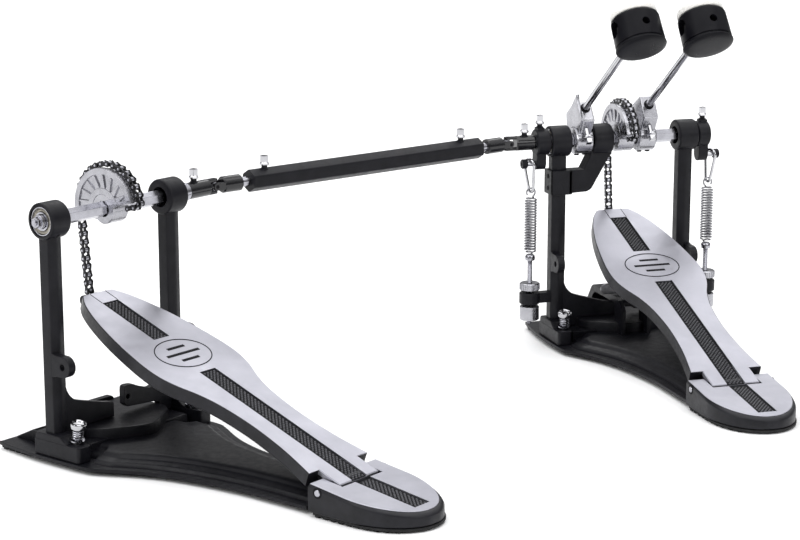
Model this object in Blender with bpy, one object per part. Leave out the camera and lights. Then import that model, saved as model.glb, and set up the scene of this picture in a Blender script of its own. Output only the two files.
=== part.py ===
"""Twin bass drum pedal: a main foot pedal and a remote foot pedal joined by a jointed drive shaft.

World frame: +Z up, the origin on the floor under the main pedal's cross shaft, midway between its posts.
X runs along that shaft and +Y points at the drum. Sizes below are millimetres; a mesh is scaled once, to metres.
"""

import math

import bmesh
import bpy
from mathutils import Matrix, Vector

MM = 0.001
GAP = 0.3  # clearance between neighbouring pieces

# driving sizes shared by both pedals
SHAFT_Z = 200.0
POST_X = 66.0
HUB_RADIUS = 15.0
HUB_LENGTH = 20.0
BEARING_RADIUS = 12.0
BEARING_BORE = 6.0
BEARING_WIDTH = 8.0
HEX_FLATS = 10.0  # at the shafts' ends
BAR_FLATS = 11.0  # between the posts
BAR_BORE = 6.7
JOURNAL_RADIUS = 5.7
CHAIN_RADIUS = 36.0
CHAIN_HALF_WIDTH = 3.4
CHAIN_HALF_DEPTH = 2.5
CHAIN_PITCH = 9.0
BOARD_TILT = math.radians(19.8)
BOARD_Z = 119.3  # height of the board's upper face straight under the shaft
BOARD_DEPTH = 12.0
BOARD_SKIN = 3.6
PIN_Y = -256.0
PIN_Z = 20.0
PIN_RADIUS = 2.8
TOE_PIN = (27.5, 119.0)
SOLE = 3.2
FLANGE_TOP = 6.5
SPIKE_TILT = math.radians(10.5)

# main pedal only
MID_HUB_X = -23.0
BEATER_X = (-42.5, 23.0)
ROD_LEAN = math.radians(54.4)
ROD_OFFSET = 20.4
ROD_RADIUS = 3.4
HEAD_REACH = 174.0
HEAD_RADIUS = 22.8
SPRING_X = 93.0
SPRING_RADIUS = 6.2
ARM_RADIUS = 20.5
ANCHOR_Z = 47.5
WING_Y = -12.0

# remote pedal and drive line
REMOTE_PLACE = (-533.8, -194.9)
REMOTE_TURN = math.radians(33.44)
REMOTE_JOINT_X = 121.0
MAIN_JOINT_X = -118.0
TUBE_FLATS = 17.6
YOKE_RADIUS = 7.3
YOKE_REACH = 8.0
DRIVE_ROD_RADIUS = 4.3

# half widths of the footboard, by distance down the board from the shaft
BOARD_STATIONS = (
    (-19.0, 17.0), (-8.0, 24.5), (10.0, 32.0), (35.0, 39.0), (62.0, 44.0), (88.0, 46.8),
    (106.0, 46.0), (121.0, 41.8), (137.0, 34.8), (156.0, 29.6), (182.0, 26.8), (205.0, 26.8),
    (228.0, 28.8), (247.0, 32.0), (258.5, 34.4),
)
TONGUE_HALF = 22.6
TONGUE_END = 281.0
# half widths of the base plate, by distance towards the drum
BASE_STATIONS = (
    (63.0, 71.0), (60.0, 73.5), (12.0, 78.3), (-40.0, 77.6), (-56.0, 72.5), (-74.0, 62.5),
    (-92.0, 54.0), (-114.0, 47.0), (-138.0, 42.2), (-165.0, 38.6), (-190.0, 37.2), (-243.0, 37.2),
)
HEEL_FRONT = -246.5
HEEL_REAR = -331.0
HEEL_HALF = 38.6

COLOURS = {
    "black_coat": ((0.018, 0.018, 0.02), 0.42, 0.0),
    "satin_alloy": ((0.62, 0.62, 0.66), 0.34, 0.9),
    "cast_grey": ((0.55, 0.55, 0.57), 0.45, 0.8),
    "chrome": ((0.75, 0.75, 0.76), 0.12, 1.0),
    "bright_steel": ((0.6, 0.6, 0.61), 0.25, 1.0),
    "chain_steel": ((0.03, 0.03, 0.032), 0.35, 0.7),
    "rubber": ((0.02, 0.02, 0.02), 0.85, 0.0),
    "felt": ((0.85, 0.84, 0.8), 0.95, 0.0),
    "black_plastic": ((0.015, 0.015, 0.017), 0.3, 0.0),
}


# ---------------------------------------------------------------- helpers


def clear_scene():
    for item in list(bpy.data.objects):
        bpy.data.objects.remove(item, do_unlink=True)


def coat(item, name):
    """Gives a piece a material of its own, in one of the pedal's finishes."""
    colour, roughness, metallic = COLOURS[name]
    material = bpy.data.materials.new(item.name + "_" + name)
    material.use_nodes = True
    shader = material.node_tree.nodes["Principled BSDF"]
    shader.inputs["Base Color"].default_value = (*colour, 1.0)
    shader.inputs["Roughness"].default_value = roughness
    shader.inputs["Metallic"].default_value = metallic
    material.diffuse_color = (*colour, 1.0)
    item.data.materials.clear()
    item.data.materials.append(material)


def piece_from(mesh_edit, name="work"):
    """Turns a bmesh into an object with its faces pointing out."""
    bmesh.ops.recalc_face_normals(mesh_edit, faces=mesh_edit.faces)
    mesh = bpy.data.meshes.new(name)
    mesh_edit.to_mesh(mesh)
    mesh_edit.free()
    item = bpy.data.objects.new(name, mesh)
    bpy.context.scene.collection.objects.link(item)
    return item


def axis_turn(axis):
    """A matrix that turns local +Z to the named axis, and local X and Y to the two others in order."""
    if axis == "x":
        return Matrix(((0, 0, 1), (1, 0, 0), (0, 1, 0))).to_4x4()
    if axis == "y":
        return Matrix(((1, 0, 0), (0, 0, -1), (0, 1, 0))).to_4x4()
    return Matrix.Identity(4)


def prism(points, axis, low, high):
    """An outline pushed along an axis. The outline holds (y, z) for x, (x, z) for y and (x, y) for z."""
    if axis == "y":
        low, high = -high, -low
    mesh_edit = bmesh.new()
    corners = [mesh_edit.verts.new((a, b, low)) for a, b in points]
    face = mesh_edit.faces.new(corners)
    pushed = bmesh.ops.extrude_face_region(mesh_edit, geom=[face])
    moved = [v for v in pushed["geom"] if isinstance(v, bmesh.types.BMVert)]
    bmesh.ops.translate(mesh_edit, vec=(0, 0, high - low), verts=moved)
    bmesh.ops.transform(mesh_edit, matrix=axis_turn(axis), verts=mesh_edit.verts)
    return piece_from(mesh_edit)


def block(x, y, z):
    """A box between two ends on each axis."""
    return prism(((x[0], y[0]), (x[1], y[0]), (x[1], y[1]), (x[0], y[1])), "z", z[0], z[1])


def rod(axis, centre, radius, low, high, sides=20, radius_high=None):
    """A cylinder or cone along an axis through a centre."""
    mesh_edit = bmesh.new()
    if axis == "y":
        low, high = -high, -low
    top = radius if radius_high is None else radius_high
    bmesh.ops.create_cone(
        mesh_edit, cap_ends=True, segments=sides, radius1=radius, radius2=top, depth=high - low
    )
    bmesh.ops.translate(mesh_edit, vec=(0, 0, (high + low) / 2), verts=mesh_edit.verts)
    bmesh.ops.rotate(mesh_edit, matrix=Matrix.Rotation(math.pi / sides, 3, "Z"), verts=mesh_edit.verts)
    bmesh.ops.transform(mesh_edit, matrix=axis_turn(axis), verts=mesh_edit.verts)
    bmesh.ops.translate(mesh_edit, vec=centre, verts=mesh_edit.verts)
    return piece_from(mesh_edit)


def turned(profile, axis, centre, sides=24):
    """A solid of revolution. The profile is a closed loop of (along, radius) points, clear of the axis or ending on it."""
    mesh_edit = bmesh.new()
    sign = -1 if axis == "y" else 1
    corners = [mesh_edit.verts.new((radius, 0, sign * along)) for along, radius in profile]
    edges = [mesh_edit.edges.new((a, b)) for a, b in zip(corners, corners[1:] + corners[:1])]
    bmesh.ops.spin(
        mesh_edit, geom=corners + edges, cent=(0, 0, 0), axis=(0, 0, 1), dvec=(0, 0, 0),
        angle=2 * math.pi, steps=sides, use_merge=True,
    )
    bmesh.ops.remove_doubles(mesh_edit, verts=mesh_edit.verts, dist=1e-3)
    loose = [e for e in mesh_edit.edges if not e.link_faces]
    bmesh.ops.delete(mesh_edit, geom=loose, context="EDGES")
    bmesh.ops.transform(mesh_edit, matrix=axis_turn(axis), verts=mesh_edit.verts)
    bmesh.ops.translate(mesh_edit, vec=centre, verts=mesh_edit.verts)
    return piece_from(mesh_edit)


def wire(points, radius, sides=8, closed=False):
    """A round wire through points, with flat ends, or one endless loop."""
    path = [Vector(p) for p in points]
    count = len(path)
    mesh_edit = bmesh.new()
    rings = []
    for i, here in enumerate(path):
        before = path[i - 1] if i or closed else here
        after = path[(i + 1) % count] if i < count - 1 or closed else here
        along = (after - before).normalized()
        side = along.cross(Vector((0.31, 0.17, 0.93)))
        if rings:
            side = last_side - along * last_side.dot(along)
        side.normalize()
        last_side = side
        other = along.cross(side)
        ring = []
        for k in range(sides):
            turn = 2 * math.pi * k / sides
            ring.append(mesh_edit.verts.new(here + radius * (math.cos(turn) * side + math.sin(turn) * other)))
        rings.append(ring)
    pairs = list(zip(rings, rings[1:]))
    if closed:
        pairs.append((rings[-1], rings[0]))
    else:
        mesh_edit.faces.new(rings[0])
        mesh_edit.faces.new(rings[-1])
    for low_ring, high_ring in pairs:
        for k in range(sides):
            nxt = (k + 1) % sides
            mesh_edit.faces.new((low_ring[k], low_ring[nxt], high_ring[nxt], high_ring[k]))
    return piece_from(mesh_edit)


def moved(item, matrix):
    item.data.transform(matrix)
    return item


def shifted(item, x=0.0, y=0.0, z=0.0):
    return moved(item, Matrix.Translation((x, y, z)))


def mirrored(item):
    """The same shape on the other side of the YZ plane."""
    item.data.transform(Matrix.Scale(-1, 4, (1, 0, 0)))
    item.data.flip_normals()
    return item


def combine(base, others, operation):
    """Unites pieces with the first one, or cuts them from it, and removes them."""
    for other in others:
        modifier = base.modifiers.new("join", "BOOLEAN")
        modifier.operation = operation
        modifier.solver = "EXACT"
        modifier.object = other
    graph = bpy.context.evaluated_depsgraph_get()
    mesh = bpy.data.meshes.new_from_object(base.evaluated_get(graph))
    base.modifiers.clear()
    base.data = mesh
    for other in others:
        bpy.data.objects.remove(other, do_unlink=True)
    return base


def united(*items):
    return combine(items[0], list(items[1:]), "UNION")


def cut(base, *cutters):
    return combine(base, list(cutters), "DIFFERENCE")


def finish(item, name, finish_name, parent, pivot=(0.0, 0.0, 0.0), turn=None):
    """Names a piece, puts its origin on its joint, scales it to metres and hangs it on its parent."""
    item.name = name
    item.data.name = name
    item.data.transform(Matrix.Translation(-Vector(pivot)))
    if turn is not None:
        item.data.transform(turn.inverted().to_4x4())
        item.rotation_euler = turn.to_euler()
    item.data.transform(Matrix.Scale(MM, 4))
    item.location = Vector(pivot) * MM
    item.parent = parent
    coat(item, finish_name)
    item.data.shade_smooth()
    item.data.set_sharp_from_angle(angle=math.radians(35))
    return item


def arc(centre, radius, start, end, steps):
    """Points on an arc, in degrees, both ends included."""
    result = []
    for i in range(steps + 1):
        turn = math.radians(start + (end - start) * i / steps)
        result.append((centre[0] + radius * math.cos(turn), centre[1] + radius * math.sin(turn)))
    return result


def both_sides(stations):
    """A closed symmetric outline from (along, half width) stations, as (x, along)."""
    right = [(half, along) for along, half in stations]
    left = [(-half, along) for along, half in reversed(stations)]
    return right + left


def smooth_stations(stations, steps):
    """Catmull-Rom points between stations."""
    result = []
    last = len(stations) - 1
    for i in range(last):
        p0 = stations[max(i - 1, 0)]
        p1 = stations[i]
        p2 = stations[i + 1]
        p3 = stations[min(i + 2, last)]
        for k in range(steps):
            t = k / steps
            point = []
            for a, b, c, d in zip(p0, p1, p2, p3):
                bend = 2 * a - 5 * b + 4 * c - d
                twist = -a + 3 * b - 3 * c + d
                point.append(0.5 * (2 * b + (c - a) * t + bend * t * t + twist * t**3))
            result.append(tuple(point))
    result.append(stations[-1])
    return result


def hexagon(flats, axis, centre, low, high):
    radius = flats / math.sqrt(3)
    return rod(axis, centre, radius, low, high, sides=6)


def key_screw(foot, height, radius=2.7):
    """A square-headed drum key screw with its washer, standing up from a foot point."""
    x, y, z = foot
    washer = rod("z", (x, y, 0), radius + 2.2, z - 1.0, z + 2.2, 8, radius + 0.6)
    shank = rod("z", (x, y, 0), radius, z - 1.0, z + height - 5.0, 8)
    head = block((x - 2.5, x + 2.5), (y - 2.5, y + 2.5), (z + height - 6.0, z + height))
    return washer, shank, head


# ---------------------------------------------------------------- floor frame


def clamp_cheeks():
    """Two cheeks on the platform for the hoop clamp's hinge pin."""
    side = [(-47.0, 8.0), (-26.0, 8.0), (-26.0, 45.0)] + arc((-31.0, 42.4), 5.0, 10, 90, 4)
    side += [(-37.0, 47.4), (-47.0, 39.0)]
    solids = []
    for low in (-15.0, 11.0):
        solids.append(cut(prism(side, "x", low, low + 4.0), rod("x", (0, -33.0, 43.5), 2.2, -20, 20, 12)))
    return solids


def base_plate(parent, prefix):
    """Wide flange, two raised steps, a platform between the posts and a hoop rest; cheeks on the main one only."""
    flange = prism(both_sides(BASE_STATIONS), "z", SOLE + GAP, FLANGE_TOP)
    lower_step = [(y, half - 9.0) for y, half in BASE_STATIONS if -240 < y < -38] + [(-243.0, 28.2)]
    lower = prism(both_sides([(-24.0, 57.0), (-37.0, 57.0)] + lower_step), "z", FLANGE_TOP - 1, 10.5)
    upper_step = [(y, half - 19.0) for y, half in BASE_STATIONS if -240 < y < -45] + [(-243.0, 18.2)]
    upper = prism(both_sides([(-18.0, 50.0)] + upper_step), "z", FLANGE_TOP - 1, 14.5)
    ledge = block((-57.5, 57.5), (-26.0, 41.0), (FLANGE_TOP - 1, 16.8))
    edge = [(-45.0, -10.0), (-41.0, -26.0), (-24.0, -38.5), (0.0, -43.0), (24.0, -38.5), (41.0, -26.0),
            (45.0, -10.0)]
    platform = prism(edge + [(45.0, 38.0), (-45.0, 38.0)], "z", 12.0, 25.0)
    ramp = prism(((38.0, 5.5), (60.5, 5.5), (60.5, 7.5), (41.0, 16.8), (38.0, 16.8)), "x", -56.5, 56.5)
    rest_top = arc((26.0, 24.5), 4.0, 0, 90, 3) + arc((-26.0, 24.5), 4.0, 90, 180, 3)
    rest = prism([(-30.0, 12.0), (30.0, 12.0)] + rest_top, "y", 34.0, 40.0)
    tongue = block((-24.0, 24.0), (-318.0, -240.0), (SOLE + GAP, FLANGE_TOP))
    cheeks = clamp_cheeks() if prefix == "main" else []
    plate = united(flange, lower, upper, ledge, platform, ramp, rest, tongue, *cheeks)
    holes = []
    for side in (-1, 1):
        spike_hole = rod("z", (0, 0, 0), 3.4, -30, 30, 12)
        moved(spike_hole, Matrix.Rotation(SPIKE_TILT, 4, "X"))
        holes.append(shifted(spike_hole, side * 66.0, -19.8, 4.0))
    plate = cut(plate, *holes)
    return finish(plate, prefix + "_base_plate", "black_coat", parent)


def base_sole(parent, prefix):
    """Ribbed rubber under the front edge and the heel, on one sheet."""
    front = block((-72.0, 72.0), (26.0, 61.5), (0.0, SOLE))
    middle = block((-24.0, 24.0), (-262.0, 30.0), (0.0, SOLE))
    stations = [(-250.0, 38.0)]
    for x, y in arc((0, -290.0), 1.0, 0, -90, 6):
        stations.append((-290.0 + (y + 290.0) * 49.0, max(x, 0.25) * 38.5))
    heel = prism(both_sides(stations), "z", 0.0, SOLE)
    sole = united(front, middle, heel)
    grooves = []
    for i in range(3):
        y = 34.0 + i * 9.0
        for side in (-1, 1):
            x = sorted((side * 27.0, side * 80.0))
            grooves.append(block(x, (y, y + 3.0), (-1.0, 1.4)))
    for i in range(5):
        y = -318.0 + i * 13.0
        for side in (-1, 1):
            x = sorted((side * 27.0, side * 50.0))
            grooves.append(block(x, (y, y + 4.0), (-1.0, 1.6)))
    return finish(cut(sole, *grooves), prefix + "_sole", "rubber", parent)


def post_column():
    """Left upright: a five-sided column with a ridge towards the player."""
    section = ((-73.3, 5.8), (-73.3, -4.6), (-66.0, -6.9), (-58.7, -4.6), (-58.7, 5.8))
    return prism(section, "z", 18.0, 190.0)


def post_foot():
    side = ((16.0, FLANGE_TOP + GAP), (16.0, 23.5), (13.0, 25.5), (-13.0, 25.5), (-22.0, 20.2),
            (-34.0, 19.8), (-34.0, FLANGE_TOP + GAP))
    corner = prism(((-59.0, -24.0), (-50.0, -24.0), (-50.0, -44.0), (-65.5, -44.0)), "z", 0, 30)
    return cut(prism(side, "x", -76.5, -59.0), corner)


def post_lug():
    """Round lug with a cross hole on the player's side of the column."""
    side = [(-4.0, 74.0), (-4.0, 92.0)] + arc((-16.5, 83.0), 8.8, 90, 270, 8)
    return cut(prism(side, "x", -73.0, -66.0), rod("x", (0, -16.0, 82.5), 2.6, -80, -60, 12))


def left_gusset(end):
    """Wall from the left column towards the middle, hollowed along its top."""
    top = [(-60.0, 66.0), (-58.5, 59.0), (-55.0, 53.6), (-49.5, 49.6), (-42.0, 46.8), (-30.0, 43.4),
           (-18.0, 40.2), (end - 2.0, 38.4), (end, 37.0)]
    foot = [(end, 25.3), (-45.4, 25.3), (-45.4, 17.3), (-64.0, 17.3), (-64.0, 66.0)]
    return prism(top + foot, "y", -5.0, 1.0)


def right_gusset(end, lug_top):
    """Wall from the right column, ending in a raised lug with a hole; drawn on the left side."""
    top = [(-60.0, 66.0), (-58.5, 56.0), (-54.0, 48.6), (-46.0, 43.4), (-34.0, 41.0), (end - 20.0, lug_top - 5.0),
           (end - 10.0, lug_top - 0.6), (end - 4.0, lug_top), (end, lug_top - 2.0)]
    foot = [(end, 33.0), (end - 4.0, 30.0), (-36.0, 28.0), (-45.4, 26.5), (-45.4, 17.3), (-64.0, 17.3), (-64.0, 66.0)]
    wall = prism(top + foot, "y", -5.0, 1.0)
    return cut(wall, rod("y", (end - 4.3, 0, 38.8 + min(lug_top - 49.0, 0.0) / 2), 2.0, -12, 12, 12))


def post_hub(inner_relief):
    """Bearing housing on top of the column, with the bearing seat on its outer side."""
    outer = -POST_X - HUB_LENGTH / 2
    inner = -POST_X + HUB_LENGTH / 2
    profile = ((outer, HUB_RADIUS - 1.2), (outer + 1.2, HUB_RADIUS), (inner - 1.2, HUB_RADIUS),
               (inner, HUB_RADIUS - 1.2), (inner, inner_relief), (outer + BEARING_WIDTH + 2.0, inner_relief),
               (outer + BEARING_WIDTH + 2.0, BEARING_RADIUS + GAP), (outer, BEARING_RADIUS + GAP))
    return turned(profile, "x", (0, 0, SHAFT_Z), 18)


def spring_bracket():
    """Arm with a ring that holds the foot of the return spring."""
    arm = block((-86.5, -68.0), (-5.5, 5.5), (42.0, 53.0))
    ring = rod("z", (-SPRING_X, 0, 0), 10.0, 42.0, 53.0, 18)
    return cut(united(arm, ring), rod("z", (-SPRING_X, 0, 0), 4.0, 30.0, 60.0, 12))


def post(parent, prefix, side, with_spring):
    """One upright with foot, gusset, lug and bearing housing, all one casting."""
    solids = [post_column(), post_foot(), post_lug()]
    if side == "left":
        solids.append(left_gusset(-6.8 if prefix == "remote" else -3.0))
    elif prefix == "remote":
        solids.append(right_gusset(-4.4, 49.0))
    else:
        solids.append(right_gusset(-10.9, 44.0))
    if with_spring:
        solids.append(spring_bracket())
    body = united(*solids)
    bore = rod("x", (0, 0, SHAFT_Z), HUB_RADIUS - 1.5, -90, -40, 20)
    body = united(cut(body, bore), post_hub(8.6))
    spike_hole = moved(rod("z", (0, 0, 0), 3.4, -30, 40, 12), Matrix.Rotation(SPIKE_TILT, 4, "X"))
    body = cut(body, shifted(spike_hole, -66.0, -19.8, 4.0))
    if side == "right":
        mirrored(body)
    return finish(body, prefix + "_post_" + side, "black_coat", parent)


def bearing(parent, name, x):
    """Shielded ball bearing: an outer race with the shield and inner race set a little back."""
    half = BEARING_WIDTH / 2
    profile = ((-half, BEARING_RADIUS), (half, BEARING_RADIUS), (half, 10.0), (half - 0.8, 10.0),
               (half - 0.8, BEARING_BORE), (-half + 0.8, BEARING_BORE), (-half + 0.8, 10.0), (-half, 10.0))
    return finish(turned(profile, "x", (x, 0, SHAFT_Z), 14), name, "bright_steel", parent, (x, 0, SHAFT_Z))


def spike(parent, prefix, side):
    """Tilted anchor screw with a knurled head and its spring, through the post's foot."""
    profile = ((-12.6, 0.0), (-9.0, 2.6), (20.5, 2.6), (20.5, 4.2), (30.2, 4.2), (30.2, 6.9), (35.2, 6.9),
               (36.2, 5.6), (36.2, 0.0))
    screw = turned(profile, "z", (0, 0, 0), 14)
    lean = Matrix.Rotation(SPIKE_TILT, 4, "X")
    moved(screw, Matrix.Translation((side * 66.0, -22.2, 17.0)) @ lean @ Matrix.Translation((0, 0, -15.0)))
    name = prefix + "_spike_" + ("left" if side < 0 else "right")
    return finish(screw, name, "chrome", parent, (side * 66.0, -22.2, 17.0), lean.to_3x3())


# ---------------------------------------------------------------- footboard and heel


def board_matrix():
    """From board coordinates (x, distance up the board, height over it) to the pedal's frame."""
    return Matrix.Translation((0, 0, BOARD_Z)) @ Matrix.Rotation(BOARD_TILT, 4, "X")


def footboard(parent, prefix):
    """Waisted board with a skirt round its underside, a hinge tongue at the heel and a chain clevis at the toe."""
    rim = [(-u, half) for u, half in smooth_stations(BOARD_STATIONS, 1)]
    rim.insert(0, (21.0, 13.0))
    outline = both_sides(rim)
    board = prism(outline, "z", -BOARD_DEPTH, 0.0)
    inner = [(y, half - 3.4) for y, half in rim if -250.0 < y < 14.0]
    hollow = prism(both_sides(inner), "z", -BOARD_DEPTH - 5, -BOARD_SKIN)
    tongue_end = -TONGUE_END
    tongue = prism(((-TONGUE_HALF, -245.0), (TONGUE_HALF, -245.0), (TONGUE_HALF, tongue_end),
                    (-TONGUE_HALF, tongue_end)), "z", -4.5, 0.0)
    board = moved(united(cut(board, hollow), tongue), board_matrix())
    barrel = rod("x", (0, PIN_Y, PIN_Z), 6.3, -TONGUE_HALF, TONGUE_HALF, 18)
    web = prism(((PIN_Y + 3, 17.0), (PIN_Y + 16, 20.5), (PIN_Y + 16, 29.5), (PIN_Y - 4, 23.0)), "x",
                -TONGUE_HALF + 1, TONGUE_HALF - 1)
    cheeks = []
    for low in (-8.2, 4.6):
        side = [(14.0, 112.0), (14.0, 122.0), (24.0, 124.0)] + arc((27.0, 119.0), 4.6, 60, -90, 5)
        cheeks.append(prism(side, "x", low, low + 3.6))
    board = united(board, barrel, web, *cheeks)
    board = cut(board, rod("x", (0, PIN_Y, PIN_Z), PIN_RADIUS + GAP, -40, 40, 16))
    return finish(board, prefix + "_footboard", "satin_alloy", parent, (0, PIN_Y, PIN_Z))


def heel_plate(parent, prefix):
    """Heel casting: sloped top, round rear, side ears for the hinge pin and a slot for the board's tongue."""
    top = [(HEEL_FRONT, HEEL_HALF), (-282.0, HEEL_HALF)]
    low = [(HEEL_FRONT, HEEL_HALF + 1.2), (-282.0, HEEL_HALF + 1.6)]
    for x, y in arc((0, 0), 1.0, 12, 84, 6):
        top.append((-282.0 - y * 49.5, x * HEEL_HALF + 0.2))
        low.append((-282.0 - y * 56.0, x * (HEEL_HALF + 1.6) + 0.2))
    mesh_edit = bmesh.new()
    low_ring = [mesh_edit.verts.new((x, y, SOLE + GAP)) for x, y in both_sides(low)]
    high_ring = [mesh_edit.verts.new((x, y, heel_top(y) - 3.0)) for x, y in both_sides(low)]
    top_ring = [mesh_edit.verts.new((x * 0.95, y * 0.998, heel_top(y))) for x, y in both_sides(top)]
    count = len(low_ring)
    mesh_edit.faces.new(low_ring)
    mesh_edit.faces.new(top_ring)
    for lower, upper in ((low_ring, high_ring), (high_ring, top_ring)):
        for k in range(count):
            nxt = (k + 1) % count
            mesh_edit.faces.new((lower[k], lower[nxt], upper[nxt], upper[k]))
    heel = piece_from(mesh_edit)
    slot = block((-TONGUE_HALF - 1.0, TONGUE_HALF + 1.0), (-267.3, -230.0), (11.5, 60.0))
    belly = block((-25.0, 25.0), (-320.0, -230.0), (0.0, 9.0))
    bore = rod("x", (0, PIN_Y, PIN_Z), PIN_RADIUS + GAP, -60, 60, 16)
    return finish(cut(heel, slot, belly, bore), prefix + "_heel_plate", "satin_alloy", parent)


def heel_top(y):
    """Height of the heel plate's upper face."""
    return 26.6 + (y + 244.0) * 0.134


def heel_pin(parent, prefix):
    pin = rod("x", (0, PIN_Y, PIN_Z), PIN_RADIUS, -HEEL_HALF - 1.0, HEEL_HALF + 1.0, 16)
    return finish(pin, prefix + "_heel_pin", "chrome", parent, (0, PIN_Y, PIN_Z))


# ---------------------------------------------------------------- cross shaft, sprocket, chain


def stepped_shaft(parent, name, runs):
    """A shaft made of hexagonal and round runs: (kind, low, high)."""
    solids = []
    for kind, low, high in runs:
        if kind in ("bar", "hex"):
            flats = BAR_FLATS if kind == "bar" else HEX_FLATS
            solids.append(hexagon(flats, "x", (0, 0, SHAFT_Z), low, high))
        else:
            solids.append(rod("x", (0, 0, SHAFT_Z), kind, low, high, 14))
    return finish(united(*solids), name, "bright_steel", parent, (0, 0, SHAFT_Z))


def sprocket(parent, prefix):
    """Half disc with a raised fan of ribs, the drum that the chain lies on, and a hub with two set screws."""
    disc = prism([(8.0, -9.6)] + arc((0, 0), 33.8, -16, 166, 20) + [(-20.0, 5.4), (-8.0, 2.0)], "x", -8.4, -4.2)
    drum = prism([(8.0, -10.0)] + arc((0, 0), 32.0, -18, 166, 18) + [(-12.0, 2.0)], "x", -4.6, 3.9)
    hub = rod("x", (0, 0, 0), 12.8, -8.0, 8.8, 20)
    ribs = []
    for angle in (34, 72, 110, 148):
        turn = math.radians(angle)
        fan = [(-2.6, 12.0), (2.6, 12.0), (0.8, 27.0), (-0.8, 27.0)]
        rib = prism([(a * math.sin(turn) + b * math.cos(turn), b * math.sin(turn) - a * math.cos(turn))
                     for a, b in fan], "x", -9.6, -8.0)
        ribs.append(rib)
    body = united(disc, drum, hub, *ribs)
    body = cut(body, rod("x", (0, 0, 0), BAR_BORE, -20, 20, 16))
    screw = rod("z", (1.0, 0, 0), 2.4, 11.5, 14.2, 8)
    moved(screw, Matrix.Rotation(math.radians(-58), 4, "X"))
    body = shifted(united(body, screw), z=SHAFT_Z)
    return finish(body, prefix + "_sprocket", "cast_grey", parent, (0, 0, SHAFT_Z))


def chain_outline(count):
    """Side view of a run of links, wide at the rollers and narrow between them: (along, half depth)."""
    points = []
    for i in range(count):
        start = i * CHAIN_PITCH
        points += [(start + CHAIN_PITCH * 0.2, CHAIN_HALF_DEPTH), (start + CHAIN_PITCH * 0.8, CHAIN_HALF_DEPTH),
                   (start + CHAIN_PITCH, CHAIN_HALF_DEPTH - 0.7)]
    return points


def chain_wrap(parent, prefix):
    """The chain that lies on the sprocket, from the front over the top to its rear end."""
    sweep = math.radians(168.0)
    count = int(CHAIN_RADIUS * sweep / CHAIN_PITCH)
    start = math.radians(3.0)
    outer = []
    inner = []
    for along, half in chain_outline(count):
        turn = start + along / (count * CHAIN_PITCH) * (sweep - start)
        outer.append(((CHAIN_RADIUS + half) * math.cos(turn), (CHAIN_RADIUS + half) * math.sin(turn)))
        inner.append(((CHAIN_RADIUS - half) * math.cos(turn), (CHAIN_RADIUS - half) * math.sin(turn)))
    wrap = prism(outer + inner[::-1], "x", -CHAIN_HALF_WIDTH, CHAIN_HALF_WIDTH)
    anchor = prism([(-33.2, 5.6), (-38.5, 6.4), (-38.5, 11.4), (-33.2, 9.6)], "x", -3.9, 4.4)
    wrap = shifted(united(wrap, anchor), z=SHAFT_Z)
    return finish(wrap, prefix + "_chain_wrap", "chain_steel", parent, (0, 0, SHAFT_Z))


def chain_hang(parent, prefix):
    """The free run of chain, from the sprocket's front to the toe of the board."""
    top = Vector((CHAIN_RADIUS, SHAFT_Z - 1.0))
    foot = Vector(TOE_PIN)
    down = (foot - top).normalized()
    across = Vector((-down.y, down.x))
    count = round((foot - top).length / CHAIN_PITCH)
    stretch = (foot - top).length / (count * CHAIN_PITCH)
    left = []
    right = []
    for along, half in chain_outline(count):
        centre = top + down * (along * stretch)
        left.append(tuple(centre + across * half))
        right.append(tuple(centre - across * half))
    run = prism(left + right[::-1], "x", -CHAIN_HALF_WIDTH, CHAIN_HALF_WIDTH)
    return finish(run, prefix + "_chain_hang", "chain_steel", parent, (0, foot.x, foot.y))


# ---------------------------------------------------------------- beaters and return springs


def lean_matrix(x):
    """From beater coordinates (x, offset towards the drum, along the rod) to the pedal's frame."""
    return Matrix.Translation((x, 0, SHAFT_Z)) @ Matrix.Rotation(ROD_LEAN, 4, "X")


def beater_hub(parent, side, x):
    """Clamp on the shaft with a deep block for the beater rod and its key screw."""
    tip = (34.8, 30.0) if side == "left" else (29.5, 29.0)
    outline = ((8.0, -9.0), (21.5, -9.0), (31.0, -4.0), (31.0, 12.0), tip, (27.0, 27.0), (7.0, 27.0), (0.0, 13.0))
    if side == "left":
        low_side = ((8.0, -9.0), (21.5, -9.0), (27.4, -4.0), (27.4, 27.0), (7.0, 27.0), (0.0, 13.0))
        body = united(prism(outline, "x", -7.4, -3.4), prism(low_side, "x", -4.0, 7.4))
    else:
        body = prism(outline, "x", -7.8, 7.8)
    collar = rod("x", (0, 0, 0), 13.2, -8.6, 8.6, 18)
    shank = rod("y", (0, 0, 18.0), 2.4, -8.0, 9.0, 12)
    head = block((-2.7, 2.7), (-13.0, -7.0), (15.3, 20.7))
    foot_screws = [rod("z", (dx, 0, 0), 2.3, -14.6, -10.0, 10) for dx in (-4.2, 4.2)]
    for screw in foot_screws:
        moved(screw, Matrix.Rotation(-ROD_LEAN, 4, "X"))
    body = united(body, collar, shank, head, *foot_screws)
    body = cut(body, rod("x", (0, 0, 0), BAR_BORE, -20, 20, 20),
               rod("z", (0, ROD_OFFSET, 0), ROD_RADIUS + GAP, -30, 50, 16))
    moved(body, lean_matrix(x))
    return finish(body, "beater_hub_" + side, "cast_grey", parent, (x, 0, SHAFT_Z))


def beater_rod(parent, side, x):
    shaft = rod("z", (0, ROD_OFFSET, 0), ROD_RADIUS, -17.0, HEAD_REACH + 12.0, 16)
    moved(shaft, lean_matrix(x))
    pivot = lean_matrix(x) @ Vector((0, ROD_OFFSET, 27.0))
    turn = Matrix.Rotation(ROD_LEAN, 3, "X")
    return finish(shaft, "beater_rod_" + side, "chrome", parent, pivot, turn)


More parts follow.
